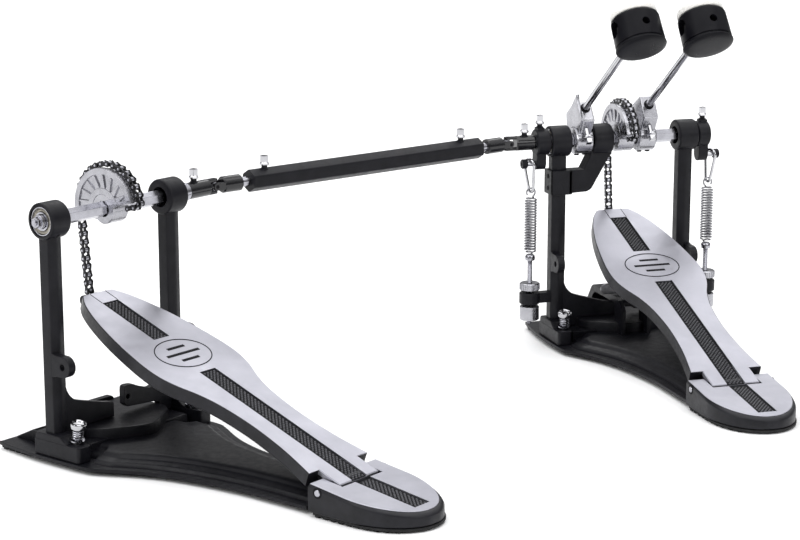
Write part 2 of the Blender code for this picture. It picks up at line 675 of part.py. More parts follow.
def beater_head(parent, side, x):
    """Two-faced head: a moulded drum with a hard cap below, bored for the rod, with a clamp pocket."""
    profile = ((-18.0, 0.0), (-18.0, HEAD_RADIUS - 3.3), (-15.9, HEAD_RADIUS + 0.5),
               (-13.7, HEAD_RADIUS - 1.0), (-12.6, HEAD_RADIUS - 1.0), (-12.0, HEAD_RADIUS),
               (12.8, HEAD_RADIUS - 0.8), (14.2, HEAD_RADIUS - 2.4), (14.2, 0.0))
    body = turned(profile, "y", (0, 0, 0), 24)
    bore = rod("z", (0, 0, 0), ROD_RADIUS + GAP, -40, 40, 16)
    pocket = rod("x", (0, 3.0, 0), 7.8, -30.0, -16.5, 14)
    body = cut(body, bore, pocket)
    shifted(body, y=ROD_OFFSET, z=HEAD_REACH)
    moved(body, lean_matrix(x))
    pivot = lean_matrix(x) @ Vector((0, ROD_OFFSET, HEAD_REACH))
    turn = Matrix.Rotation(ROD_LEAN, 3, "X")
    return finish(body, "beater_head_" + side, "black_plastic", parent, pivot, turn)


def beater_felt(parent, side, x):
    profile = ((14.5, 0.0), (14.5, 20.9), (19.7, 21.2), (22.8, 18.2), (23.8, 12.8), (23.8, 0.0))
    pad = turned(profile, "y", (0, ROD_OFFSET, HEAD_REACH), 22)
    moved(pad, lean_matrix(x))
    pivot = lean_matrix(x) @ Vector((0, ROD_OFFSET, HEAD_REACH))
    turn = Matrix.Rotation(ROD_LEAN, 3, "X")
    return finish(pad, "beater_felt_" + side, "felt", parent, pivot, turn)


def spring_arm(parent, side):
    """Clamp ring on the shaft's end with a key screw on top, and a lug below with the spring's pin."""
    collar = rod("x", (0, 0, SHAFT_Z), 12.6, -90.0, -77.0, 20)
    boss = block((-88.5, -81.5), (-4.5, 4.5), (SHAFT_Z + 9, SHAFT_Z + 14.5))
    lug_side = [(-6.0, SHAFT_Z - 6), (-6.0, SHAFT_Z - ARM_RADIUS)]
    lug_side += arc((0, SHAFT_Z - ARM_RADIUS), 6.0, 180, 360, 8)
    lug_side += [(6.0, SHAFT_Z - 6)]
    lug = prism(lug_side, "x", -89.6, -80.0)
    pin = rod("x", (0, 0, SHAFT_Z - ARM_RADIUS), 2.6, -101.0, -88.0, 14)
    pin_head = rod("x", (0, 0, SHAFT_Z - ARM_RADIUS), 4.0, -103.0, -99.8, 14)
    arm = united(collar, boss, lug, pin, pin_head, *key_screw((-85.0, 0.0, SHAFT_Z + 14.5), 14.5))
    arm = cut(arm, rod("x", (0, 0, SHAFT_Z), 6.1, -120, -60, 20))
    if side == "right":
        mirrored(arm)
    return finish(arm, "spring_arm_" + side, "black_coat", parent, (0, 0, SHAFT_Z))


def spring_clip(parent, side):
    """Drop-shaped wire link between the arm's pin and the spring's hook."""
    pin_z = SHAFT_Z - ARM_RADIUS
    high = Vector((-95.3, 0.0, pin_z - 1.6))
    low = Vector((-SPRING_X, 0.0, 154.6))
    points = []
    for y, z in arc((0.0, 0.0), 5.8, -12, 192, 12):
        points.append((high.x, y, high.z + z))
    for y, z in arc((0.0, 0.0), 2.4, 192, 348, 6):
        points.append((low.x, y, low.z + z))
    clip = wire(points, 1.1, 6, closed=True)
    if side == "right":
        mirrored(clip)
    sign = -1 if side == "left" else 1
    return finish(clip, "spring_clip_" + side, "bright_steel", parent, (sign * SPRING_X, 0, low.z))


def return_spring(parent, side):
    """Close-wound coil, tapered at both ends, with a hook over the clip."""
    low = 91.0
    high = 147.0
    turns = 9
    profile = [(low, 4.0)]
    pitch = (high - low) / turns
    for i in range(turns):
        taper = 1.1 if i in (0, turns - 1) else 0.0
        z = low + i * pitch
        profile += [(z + 0.02, SPRING_RADIUS - 0.9 - taper), (z + pitch / 2, SPRING_RADIUS - taper)]
    profile += [(high, SPRING_RADIUS - 2.0), (high, 4.0)]
    coil = turned(profile, "z", (-SPRING_X, 0, 0), 10)
    hook = [(-SPRING_X - 4.6, 0.0, high - 3.0)]
    hook += [(-SPRING_X + a, 0.0, high + 4.2 + b) for a, b in arc((0, 0), 4.6, 180, 0, 6)]
    hook += [(-SPRING_X + 4.6, 0.0, high - 3.0)]
    spring = united(coil, wire(hook, 0.9, 5))
    if side == "right":
        mirrored(spring)
    sign = -1 if side == "left" else 1
    return finish(spring, "return_spring_" + side, "bright_steel", parent, (sign * SPRING_X, 0, low))


def tension_rod(parent, side):
    """Threaded rod under the spring with its knurled lock nut above the bracket and its barrel nut below."""
    profile = ((22.0, 0.0), (22.0, 2.4), (26.0, 2.4), (26.0, 9.4), (39.6, 9.4), (41.2, 3.6), (41.2, 2.4),
               (53.8, 2.4), (53.8, 3.6), (55.4, 10.0), (62.6, 10.0), (62.6, 2.4), (84.0, 2.4), (85.0, 4.6),
               (90.6, 3.6), (90.6, 0.0))
    body = turned(profile, "z", (-SPRING_X, 0, 0), 12)
    if side == "right":
        mirrored(body)
    sign = -1 if side == "left" else 1
    return finish(body, "tension_rod_" + side, "chrome", parent, (sign * SPRING_X, 0, ANCHOR_Z))


# ---------------------------------------------------------------- main pedal extras


def mid_bracket(parent):
    """Clamp round the left column with an arm that carries the middle bearing."""
    clamp = block((-75.8, -54.4), (-10.4, 9.6), (149.0, 172.6))
    arm = prism(((-56.0, 149.8), (-38.5, 150.6), (-34.5, 154.0), (-14.0, 187.0), (-14.0, 196.0), (-33.0, 196.0),
                 (-35.5, 185.0), (-42.0, 172.4), (-56.0, 172.4)), "y", -8.0, 6.0)
    body = united(clamp, arm)
    seat = rod("x", (0, 0, SHAFT_Z), HUB_RADIUS - 1.5, -60, 0, 28)
    low = MID_HUB_X - HUB_LENGTH / 2
    high = MID_HUB_X + HUB_LENGTH / 2
    profile = ((low, 14.0), (low + 1.0, HUB_RADIUS), (high - 1.0, HUB_RADIUS), (high, 14.0), (high, BEARING_RADIUS + GAP),
               (low, BEARING_RADIUS + GAP))
    body = united(cut(body, seat), turned(profile, "x", (0, 0, SHAFT_Z), 28))
    grow = GAP + 0.2
    opening = ((-73.3 - grow, 5.8 + grow), (-73.3 - grow, -4.8 - grow), (-66.0, -7.1 - grow),
               (-58.7 + grow, -4.8 - grow), (-58.7 + grow, 5.8 + grow))
    body = cut(body, prism(opening, "z", 100, 230))
    return finish(body, "mid_bracket", "black_coat", parent)


def hoop_clamp(parent):
    """Rocking jaw with a hinge pin at its tail and a hooked nose over the front edge."""
    side = [(-37.0, 41.0)] + arc((-33.0, 43.5), 4.3, 200, 90, 4) + [(-18.0, 47.0), (36.0, 47.0), (46.0, 43.0),
            (57.0, 26.0), (60.5, 16.5), (52.0, 16.0), (47.0, 24.0), (40.0, 35.5), (34.0, 39.6), (-33.0, 39.6)]
    jaw = prism(side, "x", -10.4, 10.4)
    nose = prism(((50.5, 18.0), (60.5, 16.5), (57.5, 25.0), (50.0, 25.0)), "x", -16.0, 16.0)
    pin = rod("x", (0, -33.0, 43.5), 1.9, -14.8, 14.8, 12)
    jaw = cut(united(jaw, nose, pin), rod("z", (0, WING_Y, 0), 3.3, 30, 60, 14))
    return finish(jaw, "hoop_clamp", "black_coat", parent, (0, -33.0, 43.5))


def wing_screw(parent):
    """Wing screw through the jaw, standing clear of the platform."""
    shank = rod("z", (0, WING_Y, 0), 3.0, 30.5, 51.0, 14)
    neck = rod("z", (0, WING_Y, 0), 5.5, 47.4, 53.4, 16)
    wings = []
    for side in (-1, 1):
        outline = [(side * 2.0, 47.8), (side * 10.0, 48.4)] + [
            (side * (18.5 + a), 53.6 + b) for a, b in arc((0, 0), 5.2, -100, 80, 6)] + [(side * 8.0, 53.3),
            (side * 2.0, 52.2)]
        wings.append(prism(outline, "y", WING_Y - 2.0, WING_Y + 2.0))
    return finish(united(shank, neck, *wings), "wing_screw", "cast_grey", parent, (0, WING_Y, 30.5))


# ---------------------------------------------------------------- drive line


def yoke_arms(length, flip):
    """Fork of a universal joint about its own centre: a hub along X with two arms above and below."""
    hub = rod("x", (0, 0, 0), YOKE_RADIUS, -length, -YOKE_REACH, 18)
    arms = []
    for side in (-1, 1):
        z = sorted((side * 4.0, side * 6.5))
        outline = [(-YOKE_REACH - 3.0, -3.4)] + arc((0, 0), 3.4, -90, 90, 5) + [(-YOKE_REACH - 3.0, 3.4)]
        arms.append(prism(outline, "z", z[0], z[1]))
    body = cut(united(hub, *arms), rod("z", (0, 0, 0), 2.0, -20, 20, 12))
    if flip:
        body.data.transform(Matrix.Rotation(math.pi, 4, "Z"))
    return body


def cross(parent, name, along, turn):
    """Spider of a universal joint: a centre block with four trunnions."""
    core = rod("z", (0, 0, 0), 3.2, -3.5, 3.5, 10)
    upright = rod("z", (0, 0, 0), 1.5, -6.2, 6.2, 8)
    level = rod("y", (0, 0, 0), 1.5, -6.2, 6.2, 8)
    body = united(core, upright, level)
    moved(body, Matrix.Translation((along, 0, 0)) @ Matrix.Rotation(turn, 4, "Z"))
    return finish(body, name, "bright_steel", parent, (along, 0, 0))


def drive_tube(parent, length):
    """Black sleeve that joins the two rods, with a key screw near each end."""
    tube = hexagon(TUBE_FLATS, "x", (0, 0, 0), 37.0, length - 37.0)
    tube = cut(tube, rod("x", (0, 0, 0), 4.8, 30.0, 70.0, 16), rod("x", (0, 0, 0), 4.8, length - 70, length - 30, 16))
    screws = []
    for along in (54.0, length - 59.0):
        screws += key_screw((along, 0.0, TUBE_FLATS / 2 - 0.6), 14.0)
    return finish(united(tube, *screws), "drive_tube", "black_coat", parent, (0, 0, 0))


def drive_rod(parent, name, length, flip):
    """Rod that slides in the sleeve, with the outer fork of one universal joint."""
    fork = yoke_arms(27.5, True)
    moved(fork, Matrix.Rotation(math.pi / 2, 4, "X"))
    body = united(fork, rod("x", (0, 0, 0), DRIVE_ROD_RADIUS, 20.0, 66.0, 16))
    if flip:
        body.data.transform(Matrix.Translation((length, 0, 0)) @ Matrix.Rotation(math.pi, 4, "Z"))
    return finish(body, name, "bright_steel", parent, (length if flip else 0, 0, 0))


def shaft_yoke(parent, name, x, length, flip):
    """Fork that a key screw clamps on a cross shaft's end."""
    body = shifted(yoke_arms(length, flip), x, 0, SHAFT_Z)
    out = 1 if flip else -1
    screw = key_screw((x + out * (length - 9.5), 0.0, SHAFT_Z + YOKE_RADIUS - 0.6), 12.6)
    body = united(body, *screw)
    low, high = sorted((x + out * 12.0, x + out * 40.0))
    body = cut(body, rod("x", (0, 0, SHAFT_Z), 6.1, low, high, 20))
    return finish(body, name, "black_coat", parent, (x, 0, SHAFT_Z))


# ---------------------------------------------------------------- assembly


def empty(name, place, turn):
    item = bpy.data.objects.new(name, None)
    item.location = Vector(place) * MM
    item.rotation_euler = (0, 0, turn)
    bpy.context.scene.collection.objects.link(item)
    return item


def pedal_frame(parent, prefix, with_springs):
    base_plate(parent, prefix)
    base_sole(parent, prefix)
    for side in ("left", "right"):
        post(parent, prefix, side, with_springs)
    for side in (-1, 1):
        spike(parent, prefix, side)
    footboard(parent, prefix)
    heel_plate(parent, prefix)
    heel_pin(parent, prefix)
    sprocket(parent, prefix)
    chain_wrap(parent, prefix)
    chain_hang(parent, prefix)


def main_pedal():
    parent = empty("main_pedal", (0, 0, 0), 0.0)
    pedal_frame(parent, "main", True)
    mid_bracket(parent)
    bearing(parent, "main_bearing_left", -POST_X - 5.0)
    bearing(parent, "main_bearing_middle", MID_HUB_X)
    bearing(parent, "main_bearing_right", POST_X + 5.0)
    stepped_shaft(parent, "main_shaft", (
        (JOURNAL_RADIUS, -22.7, -12.0), ("bar", -13.0, 62.0), (JOURNAL_RADIUS, 61.0, 79.0), ("hex", 78.0, 92.0)))
    stepped_shaft(parent, "left_shaft", (
        ("hex", -104.0, -78.0), (JOURNAL_RADIUS, -79.0, -61.0), ("bar", -62.0, -33.0), (JOURNAL_RADIUS, -34.0, -23.3)))
    for side, x in zip(("left", "right"), BEATER_X):
        beater_hub(parent, side, x)
        beater_rod(parent, side, x)
        beater_head(parent, side, x)
        beater_felt(parent, side, x)
        spring_arm(parent, side)
        spring_clip(parent, side)
        return_spring(parent, side)
        tension_rod(parent, side)
    hoop_clamp(parent)
    wing_screw(parent)
    shaft_yoke(parent, "yoke_main", MAIN_JOINT_X, 27.0, True)


def remote_pedal():
    parent = empty("remote_pedal", (*REMOTE_PLACE, 0.0), REMOTE_TURN)
    pedal_frame(parent, "remote", False)
    bearing(parent, "remote_bearing_left", -POST_X - 5.0)
    bearing(parent, "remote_bearing_right", POST_X + 5.0)
    stepped_shaft(parent, "remote_shaft", (
        (4.2, -83.0, -77.0), (JOURNAL_RADIUS, -78.0, -61.0), ("bar", -62.0, 62.0), (JOURNAL_RADIUS, 61.0, 79.0),
        (7.8, 78.0, 87.0), ("hex", 86.0, 104.0)))
    shaft_yoke(parent, "yoke_remote", REMOTE_JOINT_X, 33.6, False)


def drive_line():
    """The jointed shaft between the two pedals, along its own X axis."""
    turn = Matrix.Rotation(REMOTE_TURN, 3, "Z")
    start = Vector((*REMOTE_PLACE, SHAFT_Z)) + turn @ Vector((REMOTE_JOINT_X, 0, 0))
    end = Vector((MAIN_JOINT_X, 0, SHAFT_Z))
    span = end - start
    heading = math.atan2(span.y, span.x)
    parent = empty("drive_line", start, heading)
    cross(parent, "cross_remote", 0.0, 0.0)
    cross(parent, "cross_main", span.length, 0.0)
    drive_rod(parent, "drive_rod_remote", span.length, False)
    drive_rod(parent, "drive_rod_main", span.length, True)
    drive_tube(parent, span.length)


clear_scene()
main_pedal()
remote_pedal()
drive_line()
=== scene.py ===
"""Looks of the twin bass drum pedal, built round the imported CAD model.

Every piece is drawn in millimetres in its own pedal's frame: X along the cross shaft, +Y to the drum, Z up,
the origin on the floor under the shaft. The main pedal's frame is the world's; the remote one is turned.
"""

from math import atan, atan2, cos, dist, pi, radians, sin, sqrt

import bmesh
import bpy
from mathutils import Matrix, Vector


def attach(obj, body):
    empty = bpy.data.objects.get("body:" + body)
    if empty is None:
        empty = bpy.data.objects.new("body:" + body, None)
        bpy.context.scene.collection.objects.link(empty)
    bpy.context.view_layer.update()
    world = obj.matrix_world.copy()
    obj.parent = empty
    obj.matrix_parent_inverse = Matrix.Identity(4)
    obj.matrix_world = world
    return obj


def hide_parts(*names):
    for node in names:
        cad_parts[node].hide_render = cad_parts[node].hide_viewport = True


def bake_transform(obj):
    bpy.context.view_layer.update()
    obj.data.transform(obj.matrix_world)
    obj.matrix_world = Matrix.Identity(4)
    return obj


MM = 0.001
NOISE_SPAN = (0.3, 0.7)  # nearly all of a noise texture's values lie between these
SHAFT_Z = 200
POST_X = 66
HUB_RADIUS = 15
HUB_LENGTH = 20
BEARING_RADIUS = 12
FLATS = {"hex": 10, "bar": 11, "nut": 8}
AXLE = (0, 0, SHAFT_Z)
ORIGIN = (0, 0, 0)
CHAIN_RADIUS = 36
CHAIN_PITCH = 6.96
BOARD_TILT = radians(19.8)
BOARD_Z = 119.3
BOARD_DEPTH = 12
BOARD_SKIN = 3.6
PIN_Y = -256
PIN_Z = 20
TOE_PIN = (27.5, 119)
SOLE = 3.2
SPIKE_TILT = radians(10.5)
SPIKE_Y = -22.2
BEATER_X = {"left": -42.5, "right": 23}
MID_HUB_X = -23
ROD_LEAN = radians(54.4)
ROD_OFFSET = 20.4
ROD_RADIUS = 3.4
HEAD_REACH = 174
SPRING_X = 93
ARM_RADIUS = 20.5
COIL_RADIUS = 5.3
COIL_SPAN = (92, 147)
COIL_WIRE = 0.82
REMOTE = Matrix.Translation((-533.8, -194.9, 0)) @ Matrix.Rotation(radians(33.44), 4, "Z")
MAIN = Matrix.Identity(4)
REMOTE_JOINT_X = 121
MAIN_JOINT_X = -118
STRIP_HALF = 8.3
STRIP_BED = -1.3
STUD_PITCH = 3.9
STUD_GAP = 3.6
STUD_HALF = 1.2
HEEL_SLOPE = 0.134
WING_Y = -12
JAW_PIN = (-33, 43.5)
YOKE_RADIUS = 7.2
YOKE_REACH = 8

BOARD_STATIONS = (
    (-19, 17), (-8, 24.5), (10, 32), (35, 39), (62, 44), (88, 46.8),
    (106, 46), (121, 41.8), (137, 34.8), (156, 29.6), (182, 26.8), (205, 26.8),
    (228, 28.8), (247, 32), (258.5, 34.4),
)
BASE_STATIONS = (
    (63, 71), (60, 73.5), (12, 78.3), (-40, 77.6), (-56, 72.5), (-74, 62.5),
    (-92, 54), (-114, 47), (-138, 42.2), (-165, 38.6), (-190, 37.2), (-243, 37.2),
)


# ---------------------------------------------------------------- materials


class Nodes:
    """A short way to wire a material's node tree."""

    def __init__(self, name, colour, roughness, metallic):
        self.material = bpy.data.materials.new(name)
        self.material.use_nodes = True
        self.tree = self.material.node_tree
        self.shader = self.tree.nodes["Principled BSDF"]
        self.shader.inputs["Base Color"].default_value = (*colour, 1)
        self.shader.inputs["Roughness"].default_value = roughness
        self.shader.inputs["Metallic"].default_value = metallic
        self.place = self.tree.nodes.new("ShaderNodeTexCoord").outputs["Object"]

    def add(self, kind, **inputs):
        """A node with its inputs set or linked."""
        node = self.tree.nodes.new(kind)
        for key, value in inputs.items():
            socket = node.inputs[key.replace("_", " ")]
            if isinstance(value, bpy.types.NodeSocket):
                self.tree.links.new(value, socket)
            else:
                socket.default_value = value
        return node

    def noise(self, scale, detail=3, roughness=0.55):
        """Noise over the object's own coordinates, which are in metres."""
        settings = {"Scale": scale, "Detail": detail, "Roughness": roughness}
        return self.add("ShaderNodeTexNoise", Vector=self.place, **settings).outputs["Fac"]

    def colours(self, dark, light, *noise):
        """The base colour wanders between two shades."""
        ramp = self.tree.nodes.new("ShaderNodeValToRGB")
        for element, place, colour in zip(ramp.color_ramp.elements, NOISE_SPAN, (dark, light)):
            element.position = place
            element.color = (*colour, 1)
        self.tree.links.new(self.noise(*noise), ramp.inputs["Fac"])
        self.tree.links.new(ramp.outputs["Color"], self.shader.inputs["Base Color"])

    def sheen(self, low, high, *noise):
        """The roughness wanders between two values."""
        limits = {"From_Min": NOISE_SPAN[0], "From_Max": NOISE_SPAN[1], "To_Min": low, "To_Max": high}
        node = self.add("ShaderNodeMapRange", Value=self.noise(*noise), **limits)
        self.tree.links.new(node.outputs["Result"], self.shader.inputs["Roughness"])

    def specular(self, level):
        self.shader.inputs["Specular IOR Level"].default_value = level

    def grain(self, depth, strength, *noise, below=None):
        """Bumps, over those below where there are any."""
        node = self.add("ShaderNodeBump", Height=self.noise(*noise), Distance=depth, Strength=strength)
        if below is not None:
            self.tree.links.new(below, node.inputs["Normal"])
        self.tree.links.new(node.outputs["Normal"], self.shader.inputs["Normal"])
        return node.outputs["Normal"]


def black_coat():
    """Satin powder coat: near black, with a fine orange peel and slightly worn sheen."""
    m = Nodes("black_coat", (0.006, 0.006, 0.008), 0.4, 0)
    m.colours((0.004, 0.004, 0.006), (0.009, 0.009, 0.012), 60, 4)
    m.sheen(0.34, 0.48, 180, 4)
    m.specular(0.2)
    m.grain(0.00012, 0.5, 2200, 2)
    return m.material


def gloss_black():
    """Polished black of the joint forks, with faint polishing haze."""
    m = Nodes("gloss_black", (0.008, 0.008, 0.009), 0.14, 0)
    m.colours((0.006, 0.006, 0.007), (0.012, 0.012, 0.014), 90)
    m.sheen(0.1, 0.2, 300, 4)
    m.specular(0.5)
    return m.material


def dark_side():
    """The boards' painted flank: a shade finer than the castings."""
    m = Nodes("dark_side", (0.01, 0.01, 0.013), 0.4, 0)
    m.colours((0.007, 0.007, 0.009), (0.014, 0.014, 0.018), 80)
    m.sheen(0.32, 0.46, 260)
    m.specular(0.25)
    m.grain(0.0001, 0.5, 1800, 2)
    return m.material


def satin_alloy():
    """Bead-blasted aluminium with a fine grain and a cloudy sheen."""
    m = Nodes("satin_alloy", (0.41, 0.41, 0.455), 0.4, 0.8)
    m.colours((0.37, 0.37, 0.415), (0.455, 0.455, 0.505), 22, 5)
    m.sheen(0.33, 0.46, 90, 5)
    m.grain(0.00006, 0.6, 2600, 3, 0.7)
    return m.material


def cast_grey():
    """Satin cast alloy of the sprocket and beater clamps, with soft pitting."""
    m = Nodes("cast_grey", (0.4, 0.4, 0.43), 0.24, 0.95)
    m.colours((0.34, 0.34, 0.365), (0.46, 0.46, 0.49), 60, 3)
    m.sheen(0.2, 0.3, 220, 3)
    m.grain(0.00005, 0.4, 900, 3)
    return m.material


def wing_grey():
    """Dull plated casting of the jaw's wing screw."""
    m = Nodes("wing_grey", (0.16, 0.16, 0.17), 0.4, 0.8)
    m.colours((0.11, 0.11, 0.12), (0.22, 0.22, 0.23), 160, 4)
    m.sheen(0.3, 0.5, 500, 4)
    m.grain(0.00008, 0.5, 1200, 3)
    return m.material


def chrome():
    """Polished plate, with the faintest haze."""
    m = Nodes("chrome", (0.5, 0.5, 0.52), 0.1, 1)
    m.sheen(0.06, 0.14, 300, 4)
    m.colours((0.46, 0.46, 0.48), (0.56, 0.56, 0.58), 90)
    return m.material


def bright_steel():
    """Drawn steel bar: fine scratches, a little duller than chrome."""
    m = Nodes("bright_steel", (0.4, 0.4, 0.43), 0.2, 1)
    m.sheen(0.16, 0.26, 300, 4)
    m.colours((0.34, 0.34, 0.37), (0.46, 0.46, 0.5), 80)
    m.grain(0.00002, 0.3, 1500, 2)
    return m.material


def spring_steel():
    """Spring wire: plated, its grey tone wandering at random."""
    m = Nodes("spring_steel", (0.34, 0.34, 0.36), 0.28, 1)
    m.colours((0.26, 0.26, 0.28), (0.44, 0.44, 0.46), 240)
    m.sheen(0.2, 0.36, 600)
    return m.material


def shield_steel():
    """Pressed bearing shield with a faint warm cast."""
    m = Nodes("shield_steel", (0.28, 0.26, 0.22), 0.36, 0.9)
    m.colours((0.2, 0.185, 0.155), (0.36, 0.34, 0.29), 300)
    m.sheen(0.28, 0.44, 700)
    return m.material


def chain_steel():
    """Blackened, oiled chain plates, rubbed brighter in places."""
    m = Nodes("chain_steel", (0.02, 0.02, 0.021), 0.34, 0.6)
    m.colours((0.008, 0.008, 0.009), (0.045, 0.045, 0.048), 420, 4)
    m.sheen(0.24, 0.42, 900)
    m.specular(0.35)
    return m.material


def rubber():
    """Moulded rubber of the soles."""
    m = Nodes("rubber", (0.012, 0.012, 0.013), 0.7, 0)
    m.colours((0.008, 0.008, 0.009), (0.02, 0.02, 0.021), 200)
    m.sheen(0.6, 0.85, 500)
    m.specular(0.3)
    m.grain(0.0001, 0.6, 1400, 3)
    return m.material


def grip_rubber():
    """Moulded grip's bed, dark and dull."""
    m = Nodes("grip_rubber", (0.006, 0.006, 0.007), 0.7, 0)
    m.colours((0.004, 0.004, 0.005), (0.01, 0.01, 0.012), 330, 4)
    m.sheen(0.6, 0.8, 800)
    m.specular(0.1)
    return m.material


def stud_rubber_painted_highlight():
    """The grip's studs: a lighter grey than their bed, which is a painted highlight on their raised tops,
    with a glossier sheen than the bed.
    """
    m = Nodes("stud_rubber_painted_highlight", (0.07, 0.07, 0.08), 0.45, 0)
    m.colours((0.05, 0.05, 0.057), (0.1, 0.1, 0.112), 330, 4)
    m.sheen(0.36, 0.55, 800)
    m.specular(0.4)
    return m.material


def felt():
    """Pressed wool: matted fibres in two sizes and a soft sheen."""
    m = Nodes("felt", (0.86, 0.85, 0.81), 0.95, 0)
    m.colours((0.74, 0.73, 0.69), (0.93, 0.92, 0.89), 500, 6, 0.7)
    m.shader.inputs["Sheen Weight"].default_value = 0.35
    coarse = m.grain(0.0006, 0.7, 420, 5, 0.7)
    m.grain(0.0002, 0.8, 2400, 4, 0.8, below=coarse)
    return m.material


def black_plastic():
    """Moulded beater body: smooth satin black, with a slow change of sheen."""
    m = Nodes("black_plastic", (0.005, 0.005, 0.007), 0.3, 0)
    m.colours((0.004, 0.004, 0.006), (0.007, 0.007, 0.009), 70)
    m.sheen(0.26, 0.36, 60)
    m.specular(0.09)
    return m.material


def near_black_and_hole_shade():
    """Near black: the emblem's lines and other dark marks, and painted shade for the inside of recesses,
    slots and holes.
    """
    m = Nodes("near_black_and_hole_shade", (0.004, 0.004, 0.005), 0.7, 0)
    m.colours((0.003, 0.003, 0.004), (0.008, 0.008, 0.01), 600)
    m.sheen(0.6, 0.8, 300)
    m.specular(0.15)
    return m.material


MAKERS = (black_coat, gloss_black, dark_side, satin_alloy, cast_grey, wing_grey, chrome, bright_steel,
          spring_steel, shield_steel, chain_steel, rubber, grip_rubber, stud_rubber_painted_highlight, felt, black_plastic,
          near_black_and_hole_shade)
FINISHES = {}


def finish_named(name):
    """The material of that name, made the first time it is asked for."""
    if name not in FINISHES:
        FINISHES[name] = {maker.__name__: maker for maker in MAKERS}[name]()
    return FINISHES[name]


# ---------------------------------------------------------------- shapes


def moved(x, y, z):
    return Matrix.Translation((x, y, z))


def spun(turn, axis):
    return Matrix.Rotation(turn, 4, axis)


def arc(centre, radius, start, end, steps):
    """Points on an arc, in degrees, both ends included."""
    result = []
    for i in range(steps + 1):
        turn = radians(start + (end - start) * i / steps)
        result.append((centre[0] + radius * cos(turn), centre[1] + radius * sin(turn)))
    return result


def smooth_stations(stations, steps):
    """Catmull-Rom points between stations."""
    result = []
    last = len(stations) - 1
    for i in range(last):
        corners = [stations[max(i - 1, 0)], stations[i], stations[i + 1], stations[min(i + 2, last)]]
        for k in range(steps):
            t = k / steps
            point = []
            for a, b, c, d in zip(*corners):
                bend = 2 * a - 5 * b + 4 * c - d
                twist = -a + 3 * b - 3 * c + d
                point.append(0.5 * (2 * b + (c - a) * t + bend * t * t + twist * t**3))
            result.append(tuple(point))
    result.append(stations[-1])
    return result


def both_sides(stations):
    """A closed symmetric outline from (along, half width) stations, as (x, along)."""
    right = [(half, along) for along, half in stations]
    return right + [(-x, along) for x, along in reversed(right)]


def rectangle(x, y):
    """Corners between two limits on each axis."""
    return (x[0], y[0]), (x[1], y[0]), (x[1], y[1]), (x[0], y[1])


def axis_turn(axis):
    """Turns Z to the named axis."""
    if axis == "x":
        return Matrix(((0, 0, 1), (1, 0, 0), (0, 1, 0))).to_4x4()
    if axis == "y":
        return Matrix(((1, 0, 0), (0, 0, -1), (0, 1, 0))).to_4x4()
    return Matrix.Identity(4)


